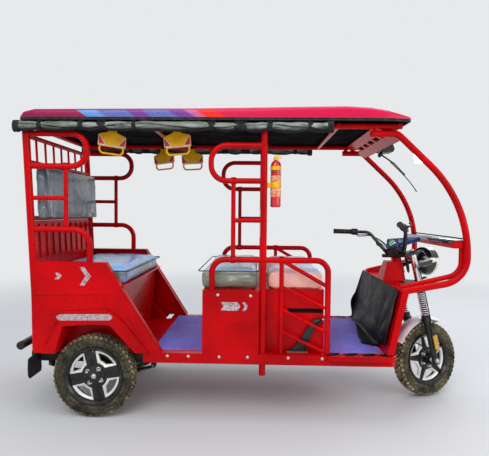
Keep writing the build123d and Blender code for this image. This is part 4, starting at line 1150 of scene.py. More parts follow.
def rim_fittings(name, facts, place):
    """Silver window frames, spoke ribs, nuts, cap and valve of a wheel."""
    sizes = bpy.context.scene.rickshaw_wheels
    band = sizes.frame_band / MM
    frames, ribs = Build(place), Build(place)
    span = 360.0 / facts["windows"]
    for n in range(facts["windows"]):
        middle = math.radians(facts["first"] + n * span)
        rings = []
        for grow, z in ((1.0, 18.6), (0.6, 21.2), (-3.0, 21.6), (-band + 2, 17.0), (-band, 14.0), (-band, 6.0),
                        (-band + 4, 6.0), (-2.0, 16.0)):
            rings.append([(r * math.cos(middle + a), r * math.sin(middle + a), z)
                          for r, a in window_outline(grow)])
        frames.skin(rings, looped=True)
        spoke = middle + math.radians(span / 2)
        for offset in (-5.5, 5.5):
            line = []
            for r in (52, 70, 100, 130, 146):
                x, y = r, offset * (0.6 + 0.6 * (r - 52) / 94)
                line.append((x * math.cos(spoke) - y * math.sin(spoke), x * math.sin(spoke) + y * math.cos(spoke),
                             19))
            ribs.tube(line, [1.0, 3.2, 3.4, 3.2, 1.0], sides=8)
    frames.done(name + "_window_frames", "rim_silver", facts["body"], "alloy", corner=28)
    hub = facts["hub"]
    ribs.lathe([(0, 18.5), (62, 18.5), (60, 23), (42, 25.5), (38.5, 27), (38.4, hub - 2), (36, hub + 0.4),
                (0, hub + 0.4)], 48)
    ribs.hoop([(150, 18), (153, 18), (155, 31), (164, 42.2), (171, 42.4), (171, 43.6), (163, 43.6), (152, 32)], 96)
    ribs.done(name + "_spoke_ribs", "rim_black", facts["body"], "alloy", corner=30)
    cap = Build(place)
    cap.lathe([(0, hub), (17, hub), (17, hub + 3), (13, hub + 9), (8, hub + 12), (0, hub + 12.6)], 32)
    cap.tube([(0, 158, 30), (0, 156, 38), (0, 150, 52)], [3.4, 3.0, 2.6], sides=10)
    cap.done(name + "_cap", "zinc", facts["body"], "alloy", corner=40)
    points, aims = [], []
    for n in range(facts["windows"]):
        a = math.radians(facts["first"] + n * span)
        points.append((48 * math.cos(a), 48 * math.sin(a), 25.5))
        aims.append((0, 0, 1))
    across = sizes.nut_across / MM
    tree_of(fasteners).grow(name + "_nuts", "chrome", facts["body"], "chrome", place, points, aims,
                                         Head_Across=across, Head_Height=15.0, Washer_Across=across * 1.35,
                                         Dome=5.0)


def wheels():
    """All three wheels."""
    coat("rim_black", *[facts["rim"] for facts in WHEELS.values()])
    for name, facts in WHEELS.items():
        place = wheel_frame(facts["joint"], facts["left"])
        tyre(name, facts, place)
        rim_fittings(name, facts, place)


# ---- steering and lamp --------------------------------------------------------------------
# Places in the fork's frame, in millimetres: the legs, the bar's ends and knees, and the lamp.
LEG_Y = 92.0
LEG_F = 55.0
GRIP_END = Vector((-213.0, 330.0, 1189.0))
BAR_KNEE = Vector((-36.0, 177.0, 1134.0))
LAMP_AT = Vector((217.0, 0.0, 867.0))
LAMP_NOD = math.radians(18.0)
HUB_S = (FORK.inverted() @ Vector(JOINTS["front_wheel_spin"]["pos_m"])).z


def lamp_place():
    """Matrix of the lamp: Z along its beam, X up."""
    beam = Vector((math.cos(LAMP_NOD), 0, -math.sin(LAMP_NOD)))
    up = Vector((math.sin(LAMP_NOD), 0, math.cos(LAMP_NOD)))
    columns = Matrix((up, beam.cross(up), beam)).transposed().to_4x4()
    return Matrix.Translation(LAMP_AT) @ columns


def headlamp():
    """Bowl with painted reflections, with its black hood and ears, rim, reflector, bulb and fluted lens."""
    place = FORK @ lamp_place()
    bowl = Build(place)
    curve = [(0, -60), (16, -60), (26, -58), (45, -51), (62, -40), (76, -25), (86, -8), (91, 8), (92.5, 20),
             (92.5, 36), (90, 36), (90, 20), (84, -6), (60, -36), (24, -54), (0, -56)]
    bowl.lathe(curve, 72)
    for side in (1, -1):
        bowl.tube([(-3, side * 84, 0), (-3, side * 93, 0)], 9, sides=20)
    shell = bowl.done("lamp_bowl", "lamp_shell", "fork", "chrome", corner=32)
    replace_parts(shell, "headlight")
    hood = Build(place)
    hood.lathe([(94.2, -14), (95.6, -14), (96.6, 10), (98.2, 38), (98.6, 44), (97.0, 44), (96.6, 38), (95, 10)], 36,
               arc=150, start=-75)
    for side in (1, -1):
        hood.slab([(68, -14), (214, -12), (224, -5), (224, 5), (214, 12), (68, 14)],
                  side * 83.5, side * 90.5, move=place.inverted() @ FORK @ Matrix.Translation((0, 0, 867)))
    hood.done("lamp_hood", "glossy_black", "fork", "black_paint", corner=32)
    inside = Build(place)
    dish = [(0, -40), (14, -39), (34, -30), (56, -10), (72, 14), (83, 40), (84, 46), (81, 46), (70, 15), (54, -8),
            (32, -27.5), (14, -36), (0, -37)]
    inside.lathe(dish, 60)
    inside.hoop([(92.8, 30), (94.5, 33), (94.5, 44), (91, 50), (86, 52), (84.5, 49), (88, 46), (89, 34)], 72)
    inside.lathe([(0, -36), (5, -36), (5, -20), (9, -12), (9, 4), (5, 9), (0, 10)], 24)
    inside.done("lamp_dish", "rim_silver", "fork", "chrome", corner=40)
    glass = Build(place)
    glass.lathe([(0, 49), (84, 46), (85, 48), (85, 51), (60, 55.5), (30, 58), (0, 59)], 60)
    lens = glass.done("lamp_lens", "lens_clear", "fork", "lens_clear", corner=50)
    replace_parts(lens, "headlight_lens")


def bar_fittings():
    """Grips, switch pods, levers with ball ends, clamp bolts, and the cables and looms tied to the bar."""
    sizes = bpy.context.scene.rickshaw_front
    inward = (BAR_KNEE - GRIP_END).normalized()
    soft, hard, metal, cable = Build(FORK), Build(FORK), Build(FORK), Build(FORK)
    for side in (1, -1):
        flip = Matrix.Diagonal((1, side, 1, 1))
        way = flip @ inward
        end = flip @ GRIP_END
        place = at(*end, way, (0, 1, 0))
        profile = [(0, -5), (13, -5), (18.4, -3), (18.6, 2), (16.4, 5)]
        rings = sizes.grip_rings
        for n in range(rings):
            z = 8 + n * 100 / rings
            profile += [(15.6, z), (16.9, z + 30 / rings), (16.9, z + 75 / rings)]
        profile += [(16, 112), (19.5, 115), (19.5, 120), (12, 121), (0, 121)]
        soft.lathe(profile, 28, place)
        hard.lathe([(11.4, 122), (21, 122), (22.6, 126), (22.8, 140), (21.5, 146), (22.6, 148), (22.4, 158),
                    (20, 163), (11.4, 163)], 28, place)
        pivot = end + way * 142
        ahead = Vector((0.64, side * 0.765, 0.0))
        hard.box((-9, -7, -8), (9, 7, 8), Matrix.Translation(pivot + ahead * 22) @ look_along(way, (0, 0, 1)))
        hard.box((-7, -10, 4), (7, 10, 15), Matrix.Translation(pivot) @ look_along((0, 0, 1), way))
        for n in (-1, 1):
            hard.lathe([(0, 0), (3.4, 0), (3.4, 5), (0, 6)], 12,
                       Matrix.Translation(pivot + way * 7 * n + Vector((-17, 0, 8))) @ look_along((-0.8, 0, 0.6)))
        tip = end + way * 6 + ahead * 54
        line = spline([pivot + ahead * 20, pivot + ahead * 42 - way * 10, end + way * 90 + ahead * 52, tip], 18)
        metal.tube(line, [5.4 - 0.09 * n for n in range(19)], sides=12)
        ball = [(0, -6.4)] + [(6.4 * math.sin(a), -6.4 * math.cos(a)) for a in [math.pi * n / 8 for n in range(1, 8)]]
        metal.lathe(ball + [(0, 6.4)], 16, Matrix.Translation(tip))
        down = Vector((0, 0, -1))
        for n, drop in enumerate((15, 22)):
            knee = flip @ BAR_KNEE
            start = pivot + ahead * (20 - 26 * n) + down * 8
            route = [start, start + way * 24 + down * drop, knee + Vector((6, -side * 8, -24 - 5 * n)),
                     Vector((6 + 8 * n, side * 112, 1046)), Vector((18, side * 76, 990 - 6 * n)),
                     Vector((36 + 6 * n, side * (50 - 6 * n), 950)), Vector((50 + 4 * n, side * (30 - 4 * n), 896)),
                     Vector((53 + 4 * n, side * (24 - 4 * n), 826))]
            cable.tube(spline(route, 46), sizes.cable_across / MM / 2, sides=8)
        loom = [(-44, side * 58, 1011), (-12, side * 82, 988), (14, side * 66, 958), (36, side * 46, 936),
                (50, side * 30, 896), (52, side * 24, 834)]
        cable.tube(spline(loom, 30), [9.5 + 1.2 * math.sin(n) for n in range(31)], sides=12)
    loop = [(-30, 60, 1016), (-52, 96, 1040), (-40, 120, 1062), (-14, 112, 1048), (-6, 84, 1018)]
    cable.tube(spline(loop, 24), sizes.cable_across / MM / 2, sides=8)
    grips = soft.done("bar_grips", "rubber", "fork", "grip", corner=40)
    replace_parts(grips, "hand_controls")
    hard.done("switch_pods", "black_moulding", "fork", "dark_trim", bevel=1.6, corner=40)
    metal.done("brake_levers", "black_enamel", "fork", "black_paint", corner=60)
    cable.done("bar_cables", "rubber", "fork", "dark_trim", corner=60)
    points = [(f, y, 1014) for f in (-15, 21) for y in (-36, 36)]
    tree_of(fasteners).grow("clamp_bolts", "zinc", "fork", "steel", FORK, points, [(0, 0, 1)] * 4,
                                         Head_Across=12.0, Head_Height=9.0, Washer_Across=17.0)


def instruments():
    """Rounded instrument housing with its dial, which carries a painted glint, and two warning lamps."""
    shell = Build(FORK)
    outline = [(-24, 1014.5), (-25, 1020), (2, 1070), (9, 1073), (60, 1066), (172, 1045), (185, 1033), (172, 1014.5)]
    shell.slab(outline, -58, 58)
    pod = shell.done("instrument_shell", "pod_blue", "fork", "dark_trim", bevel=9.0, rounds=5, corner=60)
    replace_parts(pod, "instrument_pod")
    face = Vector((-57, 0, 31)).normalized()
    middle = Vector((-11.5, 0, 1045.5))
    rim, dial = Build(FORK), Build(FORK)
    place = Matrix.Translation(middle) @ look_along(face, (0, 1, 0)) @ Matrix.Diagonal((0.72, 1.12, 1, 1))
    dial.lathe([(0, -2), (24, -2), (24, 2.5), (18, 4), (0, 4.6)], 36, place)
    rim.hoop([(23.5, 0), (27.5, 0), (28, 4), (26, 6), (23.5, 5)], 36, place)
    for side in (1, -1):
        spot = middle + Vector((0, side * 42, 0))
        rim.lathe([(0, 0), (6, 0), (6, 4), (4, 5), (0, 5.4)], 16, Matrix.Translation(spot) @ look_along(face))
    dial.done("dial_glass", "dial_face", "fork", "lens_clear", corner=50)
    rim.done("dial_rims", "chrome", "fork", "chrome", corner=40)


def fork_dressing():
    """Springs, chrome sleeves, collars, caps, axle nuts, the hose and the side reflectors of the fork."""
    sizes = bpy.context.scene.rickshaw_front
    tree = tree_of(coil)
    wire = sizes.spring_wire / MM
    for side, name in ((1, "left"), (-1, "right")):
        place = FORK @ Matrix.Translation((LEG_F, side * LEG_Y, 543 + wire / 2))
        spring = tree.grow("fork_spring_" + name, "spring_plate", "fork", "chrome", place, corner=180,
                           Turns=sizes.spring_turns, Coil_Radius=26.8 - wire / 2, Height=161.0 - wire, Wire=wire)
        if side == 1:
            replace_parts(spring, "fork_springs")
    sleeves, feet, dark = Build(FORK), Build(FORK), Build(FORK)
    for side in (1, -1):
        x, y = LEG_F, side * LEG_Y
        stand = Matrix.Translation((x, y, 0))
        sleeves.lathe([(17.2, 772.4), (20.4, 772.4), (20.4, 949.6), (17.2, 949.6)], 32, stand)
        sleeves.lathe([(0, 976), (14, 976), (14, 983), (11, 986), (0, 986.4)], 6, stand)
        feet.lathe([(17.2, 250), (19.5, 256), (20.4, 300), (20.4, 470), (23, 486), (29.4, 498), (29.6, 506),
                    (31, 508), (31, 514), (29.4, 517), (29.4, 540), (27, 543), (17.2, 543)], 32, stand)
        feet.lathe([(24.2, 700), (28.4, 704), (28.6, 712), (25.2, 716), (25.2, 748), (24.2, 750)], 32, stand)
        axle = Matrix.Translation((LEG_F, side * 108, HUB_S)) @ look_along((0, side, 0), (0, 0, 1))
        dark.lathe([(0, 0), (15, 0), (15, 3), (0, 3)], 28, axle)
        dark.lathe([(0, 3), (12, 3), (12, 11), (9.5, 12.5), (0, 12.8)], 6, axle)
        arm = [(x + 16, y + side * 16, 328), (x + 16, y + side * 16, 392)]
        feet.tube(arm, 5, sides=10)
    sleeves.done("fork_sleeves", "chrome", "fork", "chrome", corner=35)
    feet.done("fork_feet", "black_enamel", "fork", "black_paint", corner=35)
    dark.done("axle_nuts", "zinc", "fork", "steel", corner=35)
    hoses = Build(FORK)
    route = [(30, -62, 946), (44, -102, 900), (58, -118, 840), (60, -122, 760), (58, -126, 640), (56, -126, 540),
             (56, -118, 440), (54, -112, 330)]
    hoses.tube(spline(route, 44), sizes.cable_across / MM / 2 + 0.5, sides=8)
    hoses.done("brake_hose", "rubber", "fork", "dark_trim", corner=60)
    lamp, back = Build(FORK), Build(FORK)
    for side in (1, -1):
        y = side * 120.5
        edge = [(46, 316), (50, 310), (84, 310), (88, 316), (88, 405), (84, 411), (50, 411), (46, 405)]
        back.slab(edge, y - side * 5, y)
        small = [(49, 319), (52, 314), (82, 314), (85, 319), (85, 402), (82, 407), (52, 407), (49, 402)]
        lamp.slab(small, y, y + side * 5)
    back.done("reflector_backs", "black_moulding", "fork", "dark_trim", bevel=1.0)
    lamp.done("side_reflectors", "lens_amber", "fork", "lens_red", bevel=1.5)


def guard():
    """Moulded front mudguard with a crowned back, rolled lips, and stays with their lugs."""
    first, last = 41.0, 140.0

    def shape(inner):
        """Section of the guard from one lip to the other, on its outside or its inside."""
        points = []
        for n in range(17):
            t = n / 8 - 1
            r = 262 + 18 * (1 - abs(t) ** 2.6)
            y = 56 * t
            lip = 3.2 * max(0.0, abs(t) - 0.88) / 0.12
            r -= lip
            points.append((r - (2.4 if inner else 0.0), y * (0.965 if inner else 1.0)))
        return points

    b = Build(FORK)
    rings = []
    for n in range(41):
        angle = math.radians(first + (last - first) * n / 40)
        flare = 1.0 + 0.014 * math.exp(-n / 2.0) + 0.016 * math.exp(-(40 - n) / 2.0)
        section = shape(False) + shape(True)[::-1]
        taper = 1.0 - 0.10 * max(0.0, (8 - n) / 8) ** 2
        rings.append([(LEG_F + r * flare * math.cos(angle), y * taper, HUB_S + r * flare * math.sin(angle))
                      for r, y in section])
    b.skin(rings)
    cover = b.done("front_guard", "white_guard", "fork", "mudguard", corner=50)
    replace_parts(cover, "front_mudguard")
    stays = Build(FORK)
    for side in (1, -1):
        stays.slab([(42, HUB_S + 262), (68, HUB_S + 262), (72, HUB_S + 276), (38, HUB_S + 276)],
                   side * 54, side * 76)
        stays.tube([(LEG_F + 262 * math.cos(math.radians(130)), side * 55, HUB_S + 262 * math.sin(math.radians(130))),
                    (LEG_F - 70, side * 78, HUB_S + 120), (LEG_F - 16, side * 84, HUB_S + 60)], 4.5, sides=10)
    stays.done("guard_stays", "black_enamel", "fork", "black_paint", bevel=0.8)


# ---- cabin fittings -----------------------------------------------------------------------
# Name, place in the cabin, roll and yaw in degrees, and how far the strap lets the handle down.
HANDLES = [("rear_right", (93, -370), 5, 26, 0), ("front_right", (464, -370), -5, 0, 0),
           ("rear_left", (230, 370), -6, -12, 18), ("front_left", (446, 370), -4, 10, 18)]


def grab_handle(name, spot, roll, yaw, drop, stand_in):
    """Hanging grab handle: tapered yellow plate with red corner prints, a hand loop and its strap."""
    place = CABIN @ Matrix.Translation((*spot, 1720 - drop)) @ Matrix.Rotation(math.radians(yaw), 4, "Z")
    place = place @ Matrix.Rotation(math.radians(roll), 4, "Y")
    plate, red, white, strap = Build(place), Build(place), Build(place), Build(place)
    side = [(80, -126), (80, -70), (74, -63), (26, -47), (22, -40), (20, -20)]
    plate.slab(side + [(-x, z) for x, z in reversed(side)] + [(-72, -133), (72, -133)], -8.5, 8.5)
    loop = [(66, 0, -128), (68, 0, -156), (54, 0, -173), (-54, 0, -173), (-68, 0, -156), (-66, 0, -128)]
    plate.tube(rounded(loop, [12, 16, 16, 12], 5), 6.0, sides=14)
    made = plate.done("handle_plate_" + name, "handle_yellow", "root", "handle_yellow", bevel=3.0, rounds=3,
                      corner=50)
    if stand_in:
        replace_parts(made, "grab_handles")
    for face in (1, -1):
        y = face * 8.5
        for end in (1, -1):
            edge = [(end * 78, -126), (end * 78, -68), (end * 73, -66), (end * 34, -126)]
            white.slab(edge, y - face, y + face * 0.9)
            red.slab([(end * 75, -122), (end * 75, -74), (end * 41, -122)], y, y + face * 1.6)
        white.slab([(-70, -131), (70, -131), (74, -126), (-74, -126)], y - face, y + face * 0.9)
    white.done("handle_borders_" + name, "white_edge", "root", "handle_yellow", bevel=0.4)
    red.done("handle_prints_" + name, "handle_red", "root", "handle_yellow", bevel=0.4)
    for y in (-3.2, 1.2):
        strap.box((-14, y, -34), (14, y + 2, drop - 0.5))
    strap.tube([(-17, 0, -24), (17, 0, -24)], 4.2, sides=10)
    strap.done("handle_strap_" + name, "curtain_edge", "root", "dark_trim", bevel=0.6)


def grab_handles():
    """The four hanging handles."""
    for n, facts in enumerate(HANDLES):
        grab_handle(*facts, n == 0)


def extinguisher():
    """Small extinguisher with its valve, squeeze handle, blank label and strap clip."""
    x, y = 1050.0, -440.0
    stand = Matrix.Translation((x, y, 0))
    bottle = Build()
    bottle.lathe([(0, 1241), (22, 1241), (27, 1243), (29.8, 1249), (30, 1256), (30, 1470), (29, 1482), (25, 1494),
                  (18, 1502), (12, 1505), (12, 1510), (0, 1510)], 40, stand)
    shell = bottle.done("extinguisher_bottle", "bottle_red", "root", "extinguisher", corner=40)
    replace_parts(shell, "fire_extinguisher")
    valve = Build()
    valve.lathe([(0, 1509), (13, 1509), (14, 1512), (14, 1519), (9, 1522), (9, 1532), (0, 1533)], 24, stand)
    valve.slab([(x - 10, 1521), (x + 30, 1527), (x + 34, 1524), (x + 30, 1520), (x - 10, 1515)], y - 6, y + 6)
    valve.slab([(x - 12, 1528), (x + 26, 1538), (x + 30, 1535), (x - 8, 1523)], y - 5, y + 5)
    valve.done("extinguisher_valve", "handle_yellow", "root", "handle_yellow", bevel=1.2)
    label = Build()
    label.lathe([(29.6, 1300), (30.5, 1300), (30.5, 1420), (29.6, 1420)], 28, stand, arc=210, start=165)
    label.done("extinguisher_label", "blank_label", "root", "extinguisher")
    clip = Build()
    for z, width in ((1366, 15), (1462, 11)):
        clip.hoop([(30.2, z - width), (31.8, z - width), (31.8, z + width), (30.2, z + width)], 40, stand)
    clip.box((1001, y - 16, 1352), (1024, y + 8, 1380))
    clip.done("extinguisher_clip", "handle_yellow", "root", "handle_yellow", bevel=0.6)


def hand_brake():
    """Pressed lever on a ratchet plate, with its grip and its end cap."""
    lever = Build()
    arm = [(1150, 409), (1228, 409), (1246, 430), (1248, 452), (1262, 500), (1300, 556), (1319, 578), (1316, 596),
           (1298, 600), (1276, 586), (1228, 520), (1196, 462), (1160, 424)]
    lever.slab(arm, -423, -409)
    grip = [(1276, -416, 562), (1296, -416, 582), (1316, -416, 590), (1330, -416, 592)]
    lever.tube(grip, [11, 13, 12, 9], sides=16)
    lever.box((1127, -428, 403.6), (1242, -404, 412))
    made = lever.done("handbrake_lever", "black_enamel", "root", "black_paint", bevel=2.0, rounds=3)
    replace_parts(made, "handbrake")
    trim = Build()
    trim.lathe([(0, 0), (6, 0), (6, 12), (4, 14), (0, 14)], 16, at(1328, -416, 592, (1, 0, 0.1)))
    trim.box((1124, -430, 403.4), (1246, -402, 405.6))
    trim.done("handbrake_trim", "zinc", "root", "steel", bevel=0.6)


def tail_lamp_pair():
    """Rear lamps: a black tray, a red part, an amber part and a clear reversing lens."""
    parts = {"red": (336, 386, 644, 716, "lens_red"), "amber": (390, 416, 682, 716, "lens_amber"),
             "clear": (390, 416, 644, 679, "plate_white")}
    tray = Build()
    for side in (1, -1):
        low, high = sorted((side * 330, side * 420))
        tray.box((-349, low, 640), (-338.5, high, 720))
    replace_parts(tray.done("tail_lamp_trays", "black_moulding", "root", "dark_trim", bevel=2), "tail_lamps")
    for label, (inner, outer, low, high, finish) in parts.items():
        b = Build()
        for side in (1, -1):
            near, far = sorted((side * inner, side * outer))
            b.box((-366, near, low), (-348, far, high))
        b.done("tail_lamp_" + label, finish, "root", "lens_clear" if label == "clear" else "lens_red", bevel=3,
               rounds=3)


def rear_flaps():
    """Moulded rubber flaps with raised ribs, hung from bent heads with clamp strips."""
    flap, strip = Build(), Build()
    heads = [(-331.0, 380.0), (-352.0, 366.0), (-366.0, 356.0), (-372.5, 346.0), (-373.5, 330.0), (-375.0, 290.0),
             (-374.0, 262.0), (-373.5, 244.0), (-373.0, 227.0)]
    for side in (1, -1):
        rings = []
        for n, (x, z) in enumerate(heads):
            low, high = 316 + (10 if n == 8 else 0), 476 - (18 if n == 8 else 3 if n == 7 else 0)
            back = Vector((-2.4, 0, -2.2 if n < 3 else 0))
            rings.append([Vector((x, side * y, z)) + back * way
                          for y, way in ((low, 1), (396, 1.5), (high, 1), (high, -1), (396, -1), (low, -1))])
        flap.skin(rings)
        for n in range(7):
            y = side * (336 + n * 20)
            flap.tube([(-377.0, y, 334), (-378.6, y, 290), (-376.6, y, 240)], 2.2, sides=6)
        strip.box((-346, min(side * 322, side * 470), 377), (-331, max(side * 322, side * 470), 382))
        for y in (340, 396, 452):
            strip.lathe([(0, 0), (7, 0), (6, 5), (0, 6)], 12, at(-341, side * y, 368, (-0.5, 0, -0.86)))
    made = flap.done("rear_flaps", "rubber", "root", "flap", bevel=1.0)
    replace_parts(made, "mud_flaps")
    strip.done("flap_strips", "black_enamel", "root", "black_paint", bevel=0.8)


def mats():
    """Moulded floor mats with a raised lozenge pattern and a rolled edge."""
    tree = tree_of(studs_on_sheet)
    base = Build()
    for x0, x1 in ((345, 636), (1343, 1684)):
        base.slab([(x0, -424), (x0 + 5, -428), (x1 - 5, -428), (x1, -424), (x1, 424), (x1 - 5, 428), (x0 + 5, 428),
                   (x0, 424)], 403.2, 406.0, along="Z")
        edge = [(x0 + 4, -424, 406), (x1 - 4, -424, 406), (x1 - 4, 424, 406), (x0 + 4, 424, 406)]
        for a, b in zip(edge, edge[1:] + edge[:1]):
            base.tube([a, b], 2.4, sides=8)
    made = base.done("floor_mat_sheets", "mat_rubber", "root", "mat", bevel=0.8)
    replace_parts(made, "floor_mats")
    for name, x0, x1 in (("rear", 345, 636), ("front", 1343, 1684)):
        place = CABIN @ Matrix.Translation(((x0 + x1) / 2, 0, 406.4))
        tree.grow("floor_mat_studs_" + name, "mat_rubber", "root", "mat", place, Depth=x1 - x0 - 26.0, Width=826.0,
                  Columns=52, Rows=round((x1 - x0) / 17))


def screen_trim():
    """Rubber channel round the glass, the wiper with its arm, and the dash's padded top."""
    lean = math.radians(90 - 43.4)
    reach = 714.0 * math.tan(lean / 2)
    centre = (2141.0 - 714.0, 1280.0 - reach)
    def glass_line(steps, out=0.0, top=1636.0):
        """Line up the outside of the glass at its middle, from its foot."""
        points = []
        first = math.radians(7.9)
        for n in range(steps + 1):
            a = first + (lean - first) * n / steps
            points.append((centre[0] + (714 + out) * math.cos(a), centre[1] + (714 + out) * math.sin(a)))
        way = Vector((-math.sin(lean), math.cos(lean)))
        foot = Vector(points[-1])
        run = (top - foot.y) / way.y
        return points + [tuple(foot + way * run * k / 4) for k in range(1, 5)]
    rubber_line = Build()
    for y in (-421, 421):
        rubber_line.tube([(x, y, z) for x, z in glass_line(14)], 4.2, sides=8)
    low, top = glass_line(14)[0], glass_line(14)[-1]
    rubber_line.tube([(low[0], -421, low[1]), (low[0], 421, low[1])], 4.2, sides=8)
    rubber_line.tube([(top[0], -421, top[1]), (top[0], 421, top[1])], 4.2, sides=8)
    rubber_line.done("glass_channel", "rubber", "root", "dark_trim", corner=60)
    arm = Build()
    line = glass_line(14, 14.0)
    pivot = (line[-1][0] + 6, 120, line[-1][1] - 18)
    blade = [Vector((x, 96, z)) for x, z in glass_line(14, 7.0)[9:17]]
    middle = blade[len(blade) // 2] + Vector((5, 0, 5))
    arm.lathe([(0, -22), (11, -22), (13, 0), (11, 10), (0, 12)], 24, at(*pivot, (math.cos(lean), 0, math.sin(lean))))
    arm.tube([pivot, (Vector(pivot) + middle) / 2 + Vector((9, 4, 9)), middle], [6, 5, 3.6], sides=10)
    arm.tube(blade, 3.6, sides=8)
    arm.done("wiper_arm", "black_enamel", "root", "black_paint", corner=60)
    top = Build()
    top.slab([(2064, 1040), (2063, 1056), (2070, 1063.5), (2134, 1063.5), (2143, 1055), (2143, 1040)], -414, 414)
    top.done("dash_top", "glossy_black", "root", "dark_trim", bevel=2.0, rounds=3)


def seat_box_fittings():
    """Straps and terminals of the batteries in the seat box."""
    b = Build()
    for y in (-300, -100, 100, 300):
        b.box((668, y - 14, 404), (942, y + 14, 644))
    b.done("battery_straps", "curtain_edge", "root", "dark_trim", bevel=1.0)
    t = Build()
    for n in range(4):
        y = -315 + n * 210
        for x, shift in ((700, -30), (905, 30)):
            t.lathe([(0, 640), (9, 640), (8, 652), (0, 653)], 16, Matrix.Translation((x, y + shift, 0)))
    t.done("battery_posts", "zinc", "root", "steel")


def underneath():
    """Spring clamps, axle bolts, motor fins and bumper caps."""
    steel, fins, caps = Build(), Build(), Build()
    for side in (1, -1):
        y = side * 290
        for x in (-38, 38):
            line = [(x, y - 27, 190), (x, y - 27, 262), (x, y - 18, 276), (x, y + 18, 276), (x, y + 27, 262),
                    (x, y + 27, 190)]
            steel.tube(line, 5.5, sides=10)
        steel.box((-60, y - 38, 184), (60, y + 38, 192))
        for x in (-318, 318):
            steel.tube([(x, y - 30, 268), (x, y + 30, 268)], 8, sides=14)
        caps.lathe([(24.4, -4), (24.8, -3), (24.8, 14), (20, 20), (0, 21)], 28,
                   at(-440, side * 420, 413, (0, side, 0)))
    steel.done("spring_clamps", "bare_steel", "root", "steel", bevel=0.6)
    caps.done("bumper_caps", "rubber", "root", "dark_trim")
    for n in range(9):
        y = -46 + n * 26
        fins.hoop([(73.5, -2), (80, -1.6), (80, 1.6), (73.5, 2)], 40,
                  Matrix.Translation((120, y, 256)) @ look_along((0, 1, 0)))
    fins.lathe([(0, 0), (60, 0), (66, 6), (60, 12), (0, 14)], 36, at(120, 182, 256, (0, 1, 0)))
    fins.hoop([(85.5, -8), (92, -8), (92, 8), (85.5, 8)], 40, Matrix.Translation((0, 0, 244)) @ look_along((0, 1, 0)))
    fins.done("motor_fins", "cast_alloy", "root", "steel", bevel=0.4)
    points, aims = [], []
    for n in range(10):
        a = 2 * math.pi * n / 10
        points.append((88 * math.cos(a) * 0.99, 8, 244 + 88 * math.sin(a) * 0.99))
        aims.append((0, 1, 0))
    for side in (1, -1):
        for x in (-38, 38):
            for dy in (-27, 27):
                points.append((x, side * 290 + dy, 184))
                aims.append((0, 0, -1))
    tree_of(fasteners).grow("axle_bolts", "zinc", "root", "steel", None, points, aims,
                                         Head_Across=13.0, Head_Height=8.0, Washer_Across=19.0)


# ---- body dressing ------------------------------------------------------------------------
def paint_body():
    """Finishes of the CAD's own panels and tubes."""
    coat("red_enamel", "floor_frame", "rear_panel", "rear_seat_box", "rear_frame", "roof_frame", "mid_frame_left",
         "mid_frame_right", "centre_box", "screen_frame", "dash_panel", "leg_shield", "steering_cowl",
         "side_panel_left", "side_panel_right", "screen_header")
    coat("underseal", "chassis", "leaf_springs")
    coat("cast_alloy", "rear_axle")
    coat("black_enamel", "rear_bumper", "fork_lowers", "fork_crown", "handlebar")
    coat("black_moulding", "wiper_motor")
    coat("roof_gel", "roof_shell")
    coat("ceiling_board", "roof_liner")
    coat("clear_glass", "windscreen")
    coat("battery_case", "battery_pack")


def pressed_panels():
    """Swages, slanted louvres, edges, arch beads and plain stripes of the two side panels."""
    louvres = tree_of(bars_in_row)
    beads = tree_of(beads_on_points)
    swage, edge, band = Build(), Build(), Build()
    points, aims = [], []
    for side in (1, -1):
        out = side * 490.0
        swage.slab([(-322, 726), (102, 733), (106, 741), (88, 756), (-326, 752)],
                   out - side * 2, out + side * 5)
        swage.slab([(-190, 634), (92, 650), (112, 642), (92, 634), (-190, 622)],
                   out + side * 7, out + side * 12)
        band.slab([(-198, 602), (-180, 619), (108, 624), (132, 606), (112, 588), (-180, 583)],
                  out + side * 8, out + side * 10.4)
        ridge = [(155, out + side * 9, 618), (190, out + side * 10, 572), (318, out + side * 10, 412)]
        edge.tube(ridge, [3, 6, 5], sides=10)
        flange = [(84, out - side, 914), (247, out - side, 659), (404, out - side, 412)]
        edge.tube(flange, [3.5, 4.5, 3.5], sides=10)
        for arrow in ([(-208, 818), (-186, 818), (-166, 837), (-186, 856), (-208, 856), (-192, 837)],
                      [(-64, 784), (-38, 784), (2, 838), (-38, 890), (-64, 890), (-30, 838)]):
            band.slab(arrow, out, out + side * 1.2)
        for x, z in ((-217, 550), (-254, 465), (164, 558), (232, 450)):
            edge.tube([(x - 18, out + side * 8, z - 22), (x + 18, out + side * 8, z + 22)], [2, 3.4], sides=8)
        for n in range(9):
            points.append((-268 + n * 12.5, out + side * 9.5, 412 + n * 19.5))
            points.append((176 + n * 16, out + side * 3, 660 - n * 24.5))
            points.append((165 + n * 14.5, out + side * 9.5, 556 - n * 18.0))
            aims += [(0, side, 0)] * 3
        place = CABIN @ Matrix.Translation((-154, out + side * 1.5, 706))
        louvres.grow("panel_louvres_" + ("left" if side > 0 else "right"), "red_enamel", "root", "red_paint", place,
                     Bars=5, Step=(61.0, 0.0, 1.5), Bar_Size=(34.0, 9.0, 10.0), Bar_Turn=(0.0, math.radians(36), 0.0))
    swage.done("panel_swages", "red_enamel", "root", "red_paint", bevel=2.4, rounds=3)
    edge.done("panel_edges", "red_enamel", "root", "red_paint", corner=60)
    band.done("panel_stripes", "stripe_vinyl", "root", "red_paint")
    beads.grow("arch_beads", "red_enamel", "root", "red_paint", None, points, aims, Bead_Size=(14.0, 9.0, 7.0))


